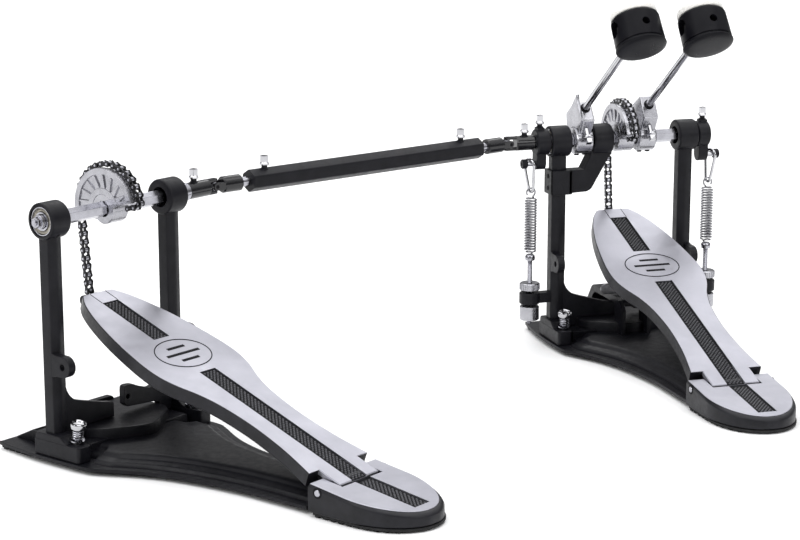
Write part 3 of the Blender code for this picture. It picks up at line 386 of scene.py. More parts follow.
class Piece:
    """Gathers solids into one mesh, each in the piece's first finish unless another is named."""

    def __init__(self, *finishes):
        self.finishes = list(finishes)
        self.mesh = bmesh.new()

    def take(self, part, matrix=None, finish=None):
        """Adds a bmesh in one finish, and frees it."""
        index = self.finishes.index(finish) if finish else 0
        bmesh.ops.recalc_face_normals(part, faces=part.faces)
        for face in part.faces:
            face.material_index = index
            face.smooth = True
        if matrix is not None:
            bmesh.ops.transform(part, matrix=matrix, verts=part.verts)
        keep = bpy.data.meshes.new("part")
        part.to_mesh(keep)
        part.free()
        self.mesh.from_mesh(keep)
        bpy.data.meshes.remove(keep)

    def prism(self, points, axis, low, high, edge=0.6, at=None, steps=2, finish=None):
        """An outline pushed along an axis, with rounded edges."""
        part = pushed_outline(points, axis, low, high)
        round_edges(part, edge, steps)
        self.take(part, at, finish)

    def carved(self, part, cutters, edge=0, at=None, finish=None):
        """A bmesh less its cutters."""
        body = loose_object(part)
        tools = [loose_object(cutter) for cutter in cutters]
        for tool in tools:
            cut = body.modifiers.new("cut", "BOOLEAN")
            cut.operation = "DIFFERENCE"
            cut.solver = "EXACT"
            cut.object = tool
        graph = bpy.context.evaluated_depsgraph_get()
        result = bpy.data.meshes.new_from_object(body.evaluated_get(graph))
        rest = bmesh.new()
        rest.from_mesh(result)
        bmesh.ops.remove_doubles(rest, verts=rest.verts, dist=1e-4)
        bmesh.ops.dissolve_limit(rest, angle_limit=radians(1), verts=rest.verts, edges=rest.edges)
        round_edges(rest, edge)
        for item in [body] + tools:
            mesh = item.data
            bpy.data.objects.remove(item)
            bpy.data.meshes.remove(mesh)
        bpy.data.meshes.remove(result)
        self.take(rest, at, finish)

    def box(self, x, y, z, edge=0.6, at=None, finish=None):
        """A rounded box between two limits on each axis."""
        self.prism(rectangle(x, y), "z", *z, edge, at, finish=finish)

    def rod(self, axis, centre, radius, low, high, edge=0.4, sides=36, at=None, finish=None):
        """A solid bar with chamfered ends."""
        profile = [(low, 0), (low, radius - edge), (low + edge, radius)]
        profile += [(high - edge, radius), (high, radius - edge), (high, 0)]
        self.turned(profile, axis, centre, sides, at, finish)

    def turned(self, profile, axis, centre, sides=40, at=None, finish=None):
        """A solid of revolution round an axis through the centre."""
        part = revolved(profile, axis, sides)
        bmesh.ops.translate(part, vec=centre, verts=part.verts)
        self.take(part, at, finish)

    def wire(self, points, radius, sides=10, closed=False, at=None, finish=None):
        """A round wire through points; an open one has flat ends."""
        path = [Vector(p) for p in points]
        count = len(path)
        part = bmesh.new()
        rings = []
        side = None
        for i, here in enumerate(path):
            before = path[i - 1] if i or closed else here
            after = path[(i + 1) % count] if i < count - 1 or closed else here
            along = (after - before).normalized()
            guess = Vector((0.31, 0.17, 0.93)) if side is None else side
            side = (guess - along * guess.dot(along)).normalized()
            other = along.cross(side)
            ring = []
            for k in range(sides):
                turn = 2 * pi * k / sides
                ring.append(part.verts.new(here + radius * (cos(turn) * side + sin(turn) * other)))
            rings.append(ring)
        pairs = list(zip(rings, rings[1:]))
        if closed:
            pairs.append((rings[-1], rings[0]))
        else:
            part.faces.new(rings[0])
            part.faces.new(rings[-1])
        for low_ring, high_ring in pairs:
            skin_between(part, low_ring, high_ring)
        self.take(part, at, finish)

    def mirror_right(self, side):
        """Swaps left and right, where the side is the right one."""
        if side != "right":
            return
        bmesh.ops.scale(self.mesh, vec=(-1, 1, 1), verts=self.mesh.verts)
        bmesh.ops.reverse_faces(self.mesh, faces=self.mesh.faces)

    def done(self, name, place=MAIN, sharp=38):
        """The finished object, in metres, in the world's frame, its edges shaded by angle."""
        mesh = bpy.data.meshes.new(name)
        self.mesh.to_mesh(mesh)
        self.mesh.free()
        item = bpy.data.objects.new(name, mesh)
        bpy.context.scene.collection.objects.link(item)
        for finish in self.finishes:
            mesh.materials.append(finish_named(finish))
        mesh.transform(Matrix.Scale(MM, 4) @ place)
        mesh.set_sharp_from_angle(angle=radians(sharp))
        weighted = item.modifiers.new("flat faces", "WEIGHTED_NORMAL")
        weighted.keep_sharp = True
        return item


def pushed_outline(points, axis, low, high):
    """A bmesh prism from an outline in the plane across the axis."""
    if axis == "y":
        low, high = -high, -low
    part = bmesh.new()
    face = part.faces.new([part.verts.new((a, b, low)) for a, b in points])
    pushed = bmesh.ops.extrude_face_region(part, geom=[face])
    top = [v for v in pushed["geom"] if isinstance(v, bmesh.types.BMVert)]
    bmesh.ops.translate(part, vec=(0, 0, high - low), verts=top)
    bmesh.ops.transform(part, matrix=axis_turn(axis), verts=part.verts)
    bmesh.ops.recalc_face_normals(part, faces=part.faces)
    return part


def revolved(profile, axis, sides):
    """A solid of revolution from (along, radius) points; a profile off the axis is a closed ring."""
    if axis == "y":
        profile = [(-along, radius) for along, radius in profile]
    part = bmesh.new()
    corners = [part.verts.new((radius, 0, along)) for along, radius in profile]
    pairs = list(zip(corners, corners[1:]))
    if profile[0][1] > 0 or profile[-1][1] > 0:
        pairs.append((corners[-1], corners[0]))
    edges = [part.edges.new(pair) for pair in pairs]
    bmesh.ops.spin(part, geom=corners + edges, cent=(0, 0, 0), axis=(0, 0, 1), dvec=(0, 0, 0),
                   angle=2 * pi, steps=sides, use_merge=True)
    bmesh.ops.remove_doubles(part, verts=part.verts, dist=1e-4)
    bmesh.ops.transform(part, matrix=axis_turn(axis), verts=part.verts)
    bmesh.ops.recalc_face_normals(part, faces=part.faces)
    return part


def skin_between(part, low_ring, high_ring):
    """Four-sided faces between two rings of vertices."""
    for k, corner in enumerate(low_ring):
        nxt = (k + 1) % len(low_ring)
        part.faces.new((corner, low_ring[nxt], high_ring[nxt], high_ring[k]))


def ringed(loops):
    """A closed bmesh through matching loops of points, first to last."""
    part = bmesh.new()
    rows = [[part.verts.new(p) for p in loop] for loop in loops]
    part.faces.new(rows[0])
    part.faces.new(rows[-1])
    for low_row, high_row in zip(rows, rows[1:]):
        skin_between(part, low_row, high_row)
    bmesh.ops.recalc_face_normals(part, faces=part.faces)
    return part


def cutter_box(x, y, z, at=None):
    """A sharp box, for cutting or for carving."""
    part = pushed_outline(rectangle(x, y), "z", *z)
    if at is not None:
        bmesh.ops.transform(part, matrix=at, verts=part.verts)
    return part


def loose_object(part):
    """A short-lived object that holds a bmesh for a Boolean."""
    mesh = bpy.data.meshes.new("loose")
    part.to_mesh(mesh)
    part.free()
    item = bpy.data.objects.new("loose", mesh)
    bpy.context.scene.collection.objects.link(item)
    return item


def round_edges(part, edge, steps=2):
    """Bevels every sharp edge of a bmesh."""
    if edge <= 0:
        return
    sharp = [e for e in part.edges if len(e.link_faces) == 2 and e.calc_face_angle(0) > radians(28)]
    bmesh.ops.bevel(part, geom=sharp, offset=edge, segments=steps, profile=0.6, affect="EDGES",
                    clamp_overlap=True)


def show(item, node, body):
    """The piece stands for a CAD node, and rides on its body."""
    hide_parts(node)
    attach(item, body)
    return item


def key_screw(piece, foot, at=None):
    """Drum key screw: black neck, bright flange and a square head, 11.7 mm over its foot."""
    x, y, z = foot
    neck = [(-1.5, 0), (-1.5, 3.6), (0.4, 3.6), (0.9, 2.6), (3.4, 2.6), (3.4, 0)]
    piece.turned(neck, "z", (x, y, z), 24, at, "black_coat")
    flange = [(3.1, 0), (3.1, 3.6), (3.6, 4.2), (4.8, 4.2), (5.7, 3.4), (6.4, 2.6), (6.4, 0)]
    piece.turned(flange, "z", (x, y, z), 28, at, "chrome")
    piece.box((x - 2.7, x + 2.7), (y - 2.7, y + 2.7), (z + 5.6, z + 11.7), 0.6, at, "chrome")


# ---------------------------------------------------------------- floor frame


def raised_body(piece):
    """The base's raised body, which follows its waist with one soft shoulder and a crowned top."""
    steps = [(-24, 57.2), (-36.5, 57.4), (-42, 66)]
    steps += [(y, half - 8.5) for y, half in smooth_stations(BASE_STATIONS[4:], 4)]
    section = ((0, 5.8), (0.5, 7.6), (1.6, 9), (3.4, 9.9), (9, 10.6), (10.6, 11.6), (12, 13.2),
               (13.8, 14.2), (17, 14.7))
    loops = []
    for y, half in steps:
        right = [(half - inset, y, z) for inset, z in section]
        left = [(-x, y, z) for x, y, z in reversed(right)]
        loops.append(right + [(0, y, 15)] + left)
    piece.take(ringed(loops))


def clamp_cheeks(piece):
    """Two cheeks on the platform that hold the jaw's hinge pin."""
    side = [(-46.5, 8), (-26.2, 8), (-26.2, 42.4)] + arc((-31, 42.4), 4.8, 0, 90, 8)
    side += [(-36.8, 47.2), (-46.5, 39)]
    for low in (-14.9, 11.1):
        piece.prism(side, "x", low, low + 3.8, 0.8)


def base_plate(place, prefix, body):
    """Floor plate with its waist, raised body, front platform, ramp and hoop rest."""
    piece = Piece("black_coat")
    outline = both_sides(smooth_stations(BASE_STATIONS, 4))
    piece.prism(outline, "z", SOLE + 0.3, 6.5, 0.9)
    raised_body(piece)
    piece.box((-57.5, 57.5), (-26, 41), (5.5, 16.8), 1.2)
    edge = [(-45, -12), (-38, -22.5), (-17, -35), (-8, -39.6), (0, -41.2)]
    edge += [(-x, y) for x, y in reversed(edge[:-1])]
    piece.prism(edge + [(45, 38), (-45, 38)], "z", 12, 25, 1.8)
    ramp = ((36, 5.5), (60.5, 5.5), (60.5, 7.5), (41, 16.8), (36, 16.8))
    piece.prism(ramp, "x", -56.5, 56.5, 0.8)
    rest = [(-30, 12), (30, 12)] + arc((26, 24.5), 4, 0, 90, 6)
    rest += arc((-26, 24.5), 4, 90, 180, 6)
    piece.prism(rest, "y", 34, 40, 0.9)
    piece.box((-24, 24), (-318, -240), (SOLE + 0.3, 6.5), 0.3)
    if prefix == "main":
        clamp_cheeks(piece)
    show(piece.done(prefix + "_base", place), prefix + "_base_plate", body)


def base_sole(place, prefix, body):
    """Ribbed rubber under the front edge and the heel, on one web."""
    piece = Piece("rubber")
    piece.box((-72, 72), (26, 61.5), (1.3, SOLE), 0.3)
    piece.box((-24, 24), (-262, 30), (0, SOLE), 0.3)
    heel = [(-250, 38)]
    for x, y in arc((0, 0), 1, 0, -86, 16):
        heel.append((-290 + y * 49, x * 38.5))
    piece.prism(both_sides(heel), "z", 1.4, SOLE, 0.3)
    for i in range(5):
        y = 27 + i * 7.2
        piece.box((-71.5, 71.5), (y, y + 4.4), (0, 1.6), 0.4)
    for i in range(10):
        y = -252 - i * 7.6
        reach = 38 if y > -286 else 38 * sqrt(max(1 - ((y - 4.4 + 290) / 50) ** 2, 0.02)) - 0.6
        piece.box((-reach, reach), (y - 4.4, y), (0, 1.6), 0.4)
    show(piece.done(prefix + "_grip_sole", place), prefix + "_sole", body)


def left_wall(end):
    """Outline of the web from the left column towards the middle, hollowed along its top."""
    wall = [(-60, 70), (-59.4, 63)] + arc((-40, 66.5), 19.6, 192, 244, 8)
    wall += [(-40, 46.2), (-30, 43.4), (-18, 40.2), (end - 2.6, 38.5), (end - 0.7, 37.9), (end, 36.6)]
    return wall + [(end, 25.3), (-45.4, 25.3), (-45.4, 17.3), (-64, 17.3), (-64, 70)]


def right_wall(end, top):
    """Outline of the web that ends in a raised lug; drawn on the left side."""
    wall = [(-60, 70), (-59.4, 60)] + arc((-44, 58.5), 15.4, 190, 246, 7)
    wall += [(-42, 42.2), (-34, 41), (end - 20, top - 5), (end - 10, top - 0.6), (end - 4, top),
             (end - 0.8, top - 0.7), (end, top - 2.6), (end, 33), (end - 4, 30)]
    return wall + [(-36, 28), (-45.4, 26.5), (-45.4, 17.3), (-64, 17.3), (-64, 70)]


def post_casting(piece, prefix, side, with_spring):
    """The left upright; the right one is drawn on the left too and mirrored after."""
    section = ((-73.3, 5.8), (-73.3, -4.6), (-68.4, -6.3), (-66, -7), (-63.6, -6.3), (-58.7, -4.6),
               (-58.7, 5.8))
    piece.prism(section, "z", 18, 190, 1.1)
    tread = [(-76.3, 16), (-59.2, 16), (-59.2, -22), (-62, -33), (-62.6, -35.2), (-64, -36),
             (-73.4, -36), (-75.6, -35), (-76.3, -33)]
    piece.prism(tread, "z", 6.8, 19.8, 1.2)
    hump = ((15.4, 12), (15.4, 23.5), (12.4, 25.5), (-13, 25.5), (-17, 22.6), (-22, 20.6), (-22, 12))
    piece.prism(hump, "x", -76, -59.5, 1.3)
    lug = [(-4, 73), (-4, 93), (-9, 91.8)] + arc((-16.5, 83), 8.6, 90, 270, 14) + [(-9, 74.2)]
    bore = pushed_outline(arc((-16.5, 83), 2.7, 0, 342, 19), "x", -80, -60)
    piece.carved(pushed_outline(lug, "x", -73.2, -66.2), [bore], 0.6)
    if side == "left":
        outline = left_wall(-7.2 if prefix == "remote" else -3.2)
        # Painted shade: a near-black disc, just proud of the hub, stands in for the dark oil hole.
        oil_hole = moved(-POST_X, 0, SHAFT_Z) @ spun(radians(142), "X")
        piece.rod("z", ORIGIN, 1.9, HUB_RADIUS - 2, HUB_RADIUS + 0.25, 0.15, 20, oil_hole, "near_black_and_hole_shade")
    else:
        end, top = (-4.6, 49) if prefix == "remote" else (-11.1, 44)
        outline = right_wall(end, top)
    wall = pushed_outline(outline, "y", -5, 1)
    cuts = []
    if side == "right":
        bore = arc((end - 4.3, 38.8 + min(top - 49, 0) / 2), 2.1, 0, 342, 19)
        cuts.append(pushed_outline(bore, "y", -20, 20))
        # Painted shade: a near-black plug sits inside the bore in place of its dark depth.
        piece.rod("y", (end - 4.3, 0, bore[0][1]), 2, -1.5, 0.9, 0.2, 20, finish="near_black_and_hole_shade")
    piece.carved(wall, cuts, 0.8)
    if with_spring:
        piece.box((-86.5, -68), (-5, 5), (42.4, 52.6), 1)
        ring = [(42, 4), (42, 9.2), (42.8, 10), (52.2, 10), (53, 9.2), (53, 4)]
        piece.turned(ring, "z", (-SPRING_X, 0, 0), 36)


def hub_rim(low, high, lip):
    """The rounded outside of a bearing housing, as (along, radius)."""
    return [(low, lip), (low + 0.5, HUB_RADIUS - 0.6), (low + 1.6, HUB_RADIUS), (high - 1.6, HUB_RADIUS),
            (high - 0.5, HUB_RADIUS - 0.6), (high, lip)]


def post_hub(piece):
    """Bearing housing with rounded rims, its seat on the outer side."""
    outer = -POST_X - HUB_LENGTH / 2
    inner = -POST_X + HUB_LENGTH / 2
    seat = BEARING_RADIUS + 0.3
    bore = 8.6
    profile = [(outer, seat)] + hub_rim(outer, inner, HUB_RADIUS - 1.6)
    profile += [(inner, bore), (outer + 10, bore), (outer + 10, seat)]
    piece.turned(profile, "x", AXLE, 48)


def post(place, prefix, side, with_spring, body):
    """One upright with its web, foot and bearing housing."""
    piece = Piece("black_coat", "near_black_and_hole_shade")
    post_casting(piece, prefix, side, with_spring)
    post_hub(piece)
    piece.mirror_right(side)
    show(piece.done(prefix + "_upright_" + side, place), f"{prefix}_post_{side}", body)


def bearing(place, node, x, body):
    """Ball bearing: bright races with a warm grey shield between them."""
    piece = Piece("bright_steel", "shield_steel")
    outer = [(-4, 10.9), (-4, 11.6), (-3.6, 12), (3.6, 12), (4, 11.6), (4, 10.9), (2.6, 10.6), (-2.6, 10.6)]
    piece.turned(outer, "x", (x, 0, SHAFT_Z), 48)
    shield = [(-2.6, 7.6), (-3.1, 8.4), (-3.3, 9.4), (-2.7, 10.7), (2.7, 10.7), (3.3, 9.4), (3.1, 8.4),
              (2.6, 7.6)]
    piece.turned(shield, "x", (x, 0, SHAFT_Z), 40, finish="shield_steel")
    inner = [(-3.7, 6.1), (-3.7, 7.5), (3.7, 7.5), (3.7, 6.1)]
    piece.turned(inner, "x", (x, 0, SHAFT_Z), 40)
    show(piece.done(node + "_races", place), node, body)


def helix(x, z_low, z_high, radius, turns, steps=14):
    """Points up an even coil."""
    points = []
    for i in range(turns * steps + 1):
        turn = 2 * pi * i / steps
        z = z_low + (z_high - z_low) * i / (turns * steps)
        points.append((x + radius * cos(turn), radius * sin(turn), z))
    return points


def spike(place, prefix, side, body):
    """Anchor screw with its dished head, spring and washer, leaning through the post's foot."""
    sign = -1 if side == "left" else 1
    lean = spun(SPIKE_TILT, "X")
    at = moved(sign * POST_X, SPIKE_Y, 17) @ lean @ moved(0, 0, -15)
    piece = Piece("chrome", "bright_steel")
    shank = [(-12.6, 0), (-9, 2.5), (30.5, 2.5), (30.5, 0)]
    piece.turned(shank, "z", ORIGIN, 24, at)
    head = [(30, 0), (30, 4.4), (30.6, 5.8), (31.6, 6.6), (34.6, 6.8), (35.7, 6.3), (36.1, 5.4),
            (35.7, 4.7), (34.8, 4.2), (34.6, 0)]
    piece.turned(head, "z", ORIGIN, 40, at)
    washer = [(20.4, 2.6), (20.4, 6.2), (21.4, 6.2), (21.4, 2.6)]
    piece.turned(washer, "z", ORIGIN, 32, at, "bright_steel")
    piece.wire(helix(0, 22.2, 29.4, 4.1, 4), 0.8, 8, at=at, finish="bright_steel")
    show(piece.done(f"{prefix}_anchor_{side}", place), f"{prefix}_spike_{side}", body)


# ---------------------------------------------------------------- boards


def board_matrix():
    """From board coordinates (x, distance up the board, height over it) to the pedal's frame."""
    return moved(0, 0, BOARD_Z) @ spun(BOARD_TILT, "X")


def board_outline(inset=0):
    """Half outline of the board as (up the board, half width), toe first, with a softly rounded toe."""
    toe = [(20.8 - inset, 9), (20.4 - inset, 13)]
    sides = [(-u, half - inset) for u, half in smooth_stations(BOARD_STATIONS, 5)]
    return toe + sides


def grip_strip(piece, low, high, at):
    """Black strip with rows of small diamond studs, sunk in its own channel."""
    bed = (STRIP_BED - 0.6, STRIP_BED + 0.5)
    piece.box((-STRIP_HALF, STRIP_HALF), (low, high), bed, 0.15, at, "grip_rubber")
    part = bmesh.new()
    diamond = [(-STUD_HALF, 0), (0, -STUD_HALF), (STUD_HALF, 0), (0, STUD_HALF)]
    rows = int((high - low - 1.2) / (STUD_PITCH / 2))
    for row in range(rows):
        y = low + 1.5 + row * STUD_PITCH / 2
        across = 4 if row % 2 == 0 else 3
        for k in range(across):
            x = (k - (across - 1) / 2) * STUD_GAP
            corners = [part.verts.new((x + a, y + b, STRIP_BED + 0.4)) for a, b in diamond]
            tips = [part.verts.new((x + a * 0.5, y + b * 0.5, STRIP_BED + 1.1)) for a, b in diamond]
            part.faces.new(tips)
            part.faces.new(corners)
            skin_between(part, corners, tips)
    # The studs' lighter grey is a painted highlight on their raised tops.
    piece.take(part, at, "stud_rubber_painted_highlight")


def strip_cutter(low, high, at=None):
    """Cuts a strip's channel, a little wider than the strip all round."""
    gap = 0.45
    reach = STRIP_HALF + gap
    return cutter_box((-reach, reach), (low - gap, high + gap), (STRIP_BED, 6), at)


def emblem(piece, at):
    """A plain generic mark: an oval line round three plain bars."""
    centre = -84.5
    half_wide = 26.5
    half_high = 20
    steps = 72
    oval = []
    for i in range(steps):
        turn = 2 * pi * i / steps
        oval.append((cos(turn) * half_wide, centre + sin(turn) * half_high, 0))
    piece.wire(oval, 0.5, 6, closed=True, at=at, finish="near_black_and_hole_shade")
    for half, rise in ((9.5, 9), (18, 0), (9.5, -9)):
        y = centre + rise
        piece.box((-half, half), (y - 1.5, y + 1.5), (-0.6, 0.16), 0.1, at, "near_black_and_hole_shade")


def footboard(place, prefix, body):
    """Waisted board: dark body, a bright sheet on top with sunk grip strips, and a tongue at the heel."""
    piece = Piece("satin_alloy", "dark_side", "grip_rubber", "stud_rubber_painted_highlight", "near_black_and_hole_shade", "chrome")
    at = board_matrix()
    tongue_end = -281
    tongue_half = 22.6
    flank = []
    for inset, z in ((1.4, -0.25), (0.7, -0.25), (0.1, -0.7), (0, -1.3), (0.2, -BOARD_DEPTH + 0.8),
                     (1, -BOARD_DEPTH), (2.9, -BOARD_DEPTH), (3.3, -BOARD_DEPTH + 0.6), (3.4, -BOARD_SKIN)):
        flank.append([(x, y, z) for x, y in both_sides(board_outline(inset))])
    strips = ((-58.5, 3.5), (tongue_end - 2, -113))
    piece.carved(ringed(flank), [strip_cutter(*span) for span in strips], at=at, finish="dark_side")
    sheet = []
    for inset, z in ((0.7, -1), (0.7, -0.2), (1, 0)):
        outline = board_outline(inset)
        outline += [(outline[-1][0], tongue_half - inset), (tongue_end + inset, tongue_half - inset)]
        sheet.append([(x, y, z) for x, y in both_sides(outline)])
    piece.carved(ringed(sheet), [strip_cutter(*span) for span in strips], at=at)
    tongue = cutter_box((-tongue_half, tongue_half), (tongue_end, -252), (-4.2, -0.5))
    piece.carved(tongue, [strip_cutter(*strips[1])], 0.3, at)
    piece.rod("x", (0, PIN_Y, PIN_Z), 6.2, -22.6, 22.6, 0.5, finish="dark_side")
    web = ((PIN_Y + 3, 17), (PIN_Y + 16, 20.5), (PIN_Y + 16, 29), (PIN_Y - 4, 22.5))
    piece.prism(web, "x", -21.6, 21.6, 0.5, finish="dark_side")
    grip_strip(piece, *strips[0], at)
    grip_strip(piece, tongue_end + 0.3, strips[1][1], at)
    emblem(piece, at)
    for x in (-8.6, 8.6):
        piece.wire([(x, 4.2, 0), (x, 19.6, 0)], 0.3, 6, at=at, finish="near_black_and_hole_shade")
    for low in (-8.2, 4.6):
        cheek = [(14, 112), (14, 121.6), (24, 124)] + arc((27, 119), 4.6, 60, -90, 8)
        piece.prism(cheek, "x", low, low + 3.6, 0.5, finish="dark_side")
    piece.rod("x", (0, TOE_PIN[0] - 0.5, TOE_PIN[1]), 1.8, -8.6, 8.6, 0.4, 20, finish="chrome")
    show(piece.done(prefix + "_tread", place), prefix + "_footboard", body)


def heel_top(y):
    """Height of the heel plate's upper face."""
    return 26.6 + (y + 244) * HEEL_SLOPE


def heel_outline(inset, rear_inset):
    """Half outline of the heel from its front edge to the round rear, as (along, half width)."""
    half = 39.6
    bend = -282
    reach = 56
    points = [(-246.7 - inset, half - inset), (-266, half - inset), (bend, half - inset)]
    for i in range(1, 15):
        turn = radians(i * 6)
        gap = inset + (rear_inset - inset) * sin(turn)
        points.append((bend - sin(turn) * (reach - gap), cos(turn) * (half - gap) + 0.2))
    return points


def heel_cuts(strip, slope):
    """Cutters for the slot round the board's tongue and the strip's channel."""
    return [cutter_box((-23.7, 23.7), (-267.3, -230), (11.5, 60)), strip_cutter(*strip, slope)]


def heel_plate(place, prefix, body):
    """Heel casting: dark body, bright sloped top whose chamfer widens to the rear, ears round the tongue."""
    piece = Piece("dark_side", "satin_alloy", "grip_rubber", "stud_rubber_painted_highlight")
    middle = -268
    slope = moved(0, middle, heel_top(middle)) @ spun(atan(HEEL_SLOPE), "X")
    strip = (-57, 3)
    flank = []
    for inset, rear_inset, base, drop in ((0.7, 0.7, SOLE + 0.3, 0), (0, 0, SOLE + 1.1, 0),
                                          (0, 0, 0, 3.6), (0.4, 1.4, 0, 2), (1, 4.4, 0, 0.5),
                                          (1.6, 5.6, 0, 0.5)):
        outline = both_sides(heel_outline(inset, rear_inset))
        flank.append([(x, y, base or heel_top(y) - drop) for x, y in outline])
    piece.carved(ringed(flank), heel_cuts(strip, slope))
    crown = []
    for inset, rear_inset, drop in ((1.2, 4.7, 1.2), (1.2, 4.7, 0.25), (1.5, 5, 0)):
        crown.append([(x, y, heel_top(y) - drop) for x, y in both_sides(heel_outline(inset, rear_inset))])
    piece.carved(ringed(crown), heel_cuts(strip, slope), finish="satin_alloy")
    grip_strip(piece, strip[0], -0.2, slope)
    show(piece.done(prefix + "_heel", place), prefix + "_heel_plate", body)


def heel_pin(place, prefix, body):
    """Hinge pin with a dark ring round each end."""
    piece = Piece("bright_steel", "near_black_and_hole_shade")
    piece.rod("x", (0, PIN_Y, PIN_Z), 2.7, -40.2, 40.2, 0.4)
    for sign in (-1, 1):
        corners = ((39.2, 2.9), (39.2, 4.3), (39.7, 4.3), (39.9, 4), (39.9, 2.9))
        ring = [(sign * along, radius) for along, radius in corners]
        piece.turned(ring, "x", (0, PIN_Y, PIN_Z), 32, finish="near_black_and_hole_shade")
    show(piece.done(prefix + "_hinge_pin", place), prefix + "_heel_pin", body)


# ---------------------------------------------------------------- shafts, sprocket and chain


def shaft(place, name, node, runs, body):
    """A bar of runs (kind, low, high): the kind is a hexagon's name in FLATS, or a round run's radius."""
    piece = Piece("bright_steel")
    for kind, low, high in runs:
        if kind in FLATS:
            flats = FLATS[kind]
            hexagon = arc((0, SHAFT_Z), flats / sqrt(3), 30, 330, 5)
            piece.prism(hexagon, "x", low, high, 0.35)
        else:
            piece.rod("x", AXLE, kind, low, high, 0.4)
    show(piece.done(name, place), node, body)


def sprocket(place, prefix, body):
    """Cast part disc: flat rim, fan of ribs in a pocket, a drum under the chain, a hub with set screws."""
    piece = Piece("cast_grey", "near_black_and_hole_shade", "chrome")
    centre = moved(0, 0, SHAFT_Z)
    rim_radius = 33.6
    relief = (-8.4, -6.6)
    disc = [(8, -9.6)] + arc((0, 0), rim_radius, -16, 166, 52) + [(-20, 5.4), (-8, 2)]
    piece.prism(disc, "x", -7, -4.4, 0.4, at=centre)
    rim = arc((0, 0), rim_radius, -15, 165, 52) + arc((0, 0), 28.6, 164, -14, 52)
    piece.prism(rim, "x", *relief, 0.45, at=centre)
    piece.prism(((8, -9.5), (32.3, -9.3), (31.8, -6.6), (8, -6.8)), "x", *relief, 0.4, at=centre)
    edge = ((-32.5, 8.2), (-20, 5.5), (-8, 2.1), (-8, 5), (-19.4, 8.4), (-31.8, 11.2))
    piece.prism(edge, "x", *relief, 0.4, at=centre)
    ring = arc((0, 0), 17.2, -30, 168, 36) + arc((0, 0), 12, 168, -30, 36)
    piece.prism(ring, "x", -8.6, -6.6, 0.45, at=centre)
    for i in range(8):
        turn = centre @ spun(radians(8 + i * 20.5), "X")
        rib = ((15.5, -2.9), (27.6, -0.7), (28.2, 0), (27.6, 0.7), (15.5, 2.9))
        piece.prism(rib, "x", -8.3, -6.6, 0.4, at=turn)
    drum = [(8, -9.8)] + arc((0, 0), 32, -17, 165, 48) + [(-12, 2)]
    piece.prism(drum, "x", -4.6, 3.7, 0.4, at=centre)
    hub = [(-8.2, 6.8), (-8.2, 11.8), (-7.4, 12.7), (8, 12.7), (8.8, 11.9), (8.8, 6.8)]
    piece.turned(hub, "x", AXLE, 44)
    for angle in (-58, -150):
        turn = centre @ spun(radians(angle), "X")
        piece.rod("z", (1, 0, 0), 2.5, 11, 13.7, 0.3, 20, turn, "chrome")
        # Painted shade: a near-black hexagon on each set screw stands in for the dark of its socket.
        piece.rod("z", (1, 0, 0), 1.3, 13.5, 13.8, 0.05, 6, turn, "near_black_and_hole_shade")
    show(piece.done(prefix + "_cam", place), prefix + "_sprocket", body)


def chain_stations():
    """Pin places of the chain as (y, z), from the wrap's rear end to the board's toe."""
    places = []
    wrapped = 15
    for i in range(wrapped, -1, -1):
        turn = radians(1.5) + i * CHAIN_PITCH / CHAIN_RADIUS
        places.append((CHAIN_RADIUS * cos(turn), SHAFT_Z + CHAIN_RADIUS * sin(turn)))
    top = Vector(places[-1])
    foot = Vector(TOE_PIN)
    steps = round((foot - top).length / CHAIN_PITCH)
    for i in range(1, steps + 1):
        places.append(tuple(top.lerp(foot, i / steps)))
    return places


def chain_links(piece, pins):
    """Paired plates between pins, with a roller on each pin."""
    plate_end = 2.8
    plate_thick = 0.85
    for i, (a, b) in enumerate(zip(pins, pins[1:])):
        length = dist(a, b)
        turn = atan2(b[1] - a[1], b[0] - a[0])
        at = moved(0, *a) @ spun(turn, "X")
        plate = arc((length, 0), plate_end, -65, 65, 6) + [(length / 2, 1.5)]
        plate += arc((0, 0), plate_end, 115, 245, 6) + [(length / 2, -1.5)]
        x = 3.5 if i % 2 else 2.4
        for side in (-1, 1):
            low, high = sorted((side * x, side * (x - plate_thick)))
            piece.prism(plate, "x", low, high, 0.2, at=at, steps=1)
    for y, z in pins:
        piece.rod("x", (0, y, z), 2.2, -1.4, 1.4, 0.2, 14, finish="bright_steel")
        piece.rod("x", (0, y, z), 1.1, -3.8, 3.8, 0.2, 10, finish="bright_steel")


def chain(place, prefix, rotor):
    """Roller chain over the sprocket and down to the toe, and its tail, which tucks in to the hub."""
    piece = Piece("chain_steel", "bright_steel")
    pins = chain_stations()
    chain_links(piece, pins)
    item = piece.done(prefix + "_drive_chain", place)
    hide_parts(prefix + "_chain_wrap", prefix + "_chain_hang")
    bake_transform(item)
    tail = Piece("chain_steel", "bright_steel")
    y, z = pins[0]
    chain_links(tail, [(y, z), (y + 5.4, z - 4.2), (y + 12.1, z - 5.6)])
    item = tail.done(prefix + "_chain_tail", place)
    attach(item, rotor)


# ---------------------------------------------------------------- beaters and springs


def lean_matrix(side):
    """From a beater's own frame, with Z along its rod, to the pedal's."""
    return moved(BEATER_X[side], 0, SHAFT_Z) @ spun(ROD_LEAN, "X")


def head_matrix(side):
    return lean_matrix(side) @ moved(0, ROD_OFFSET, HEAD_REACH)


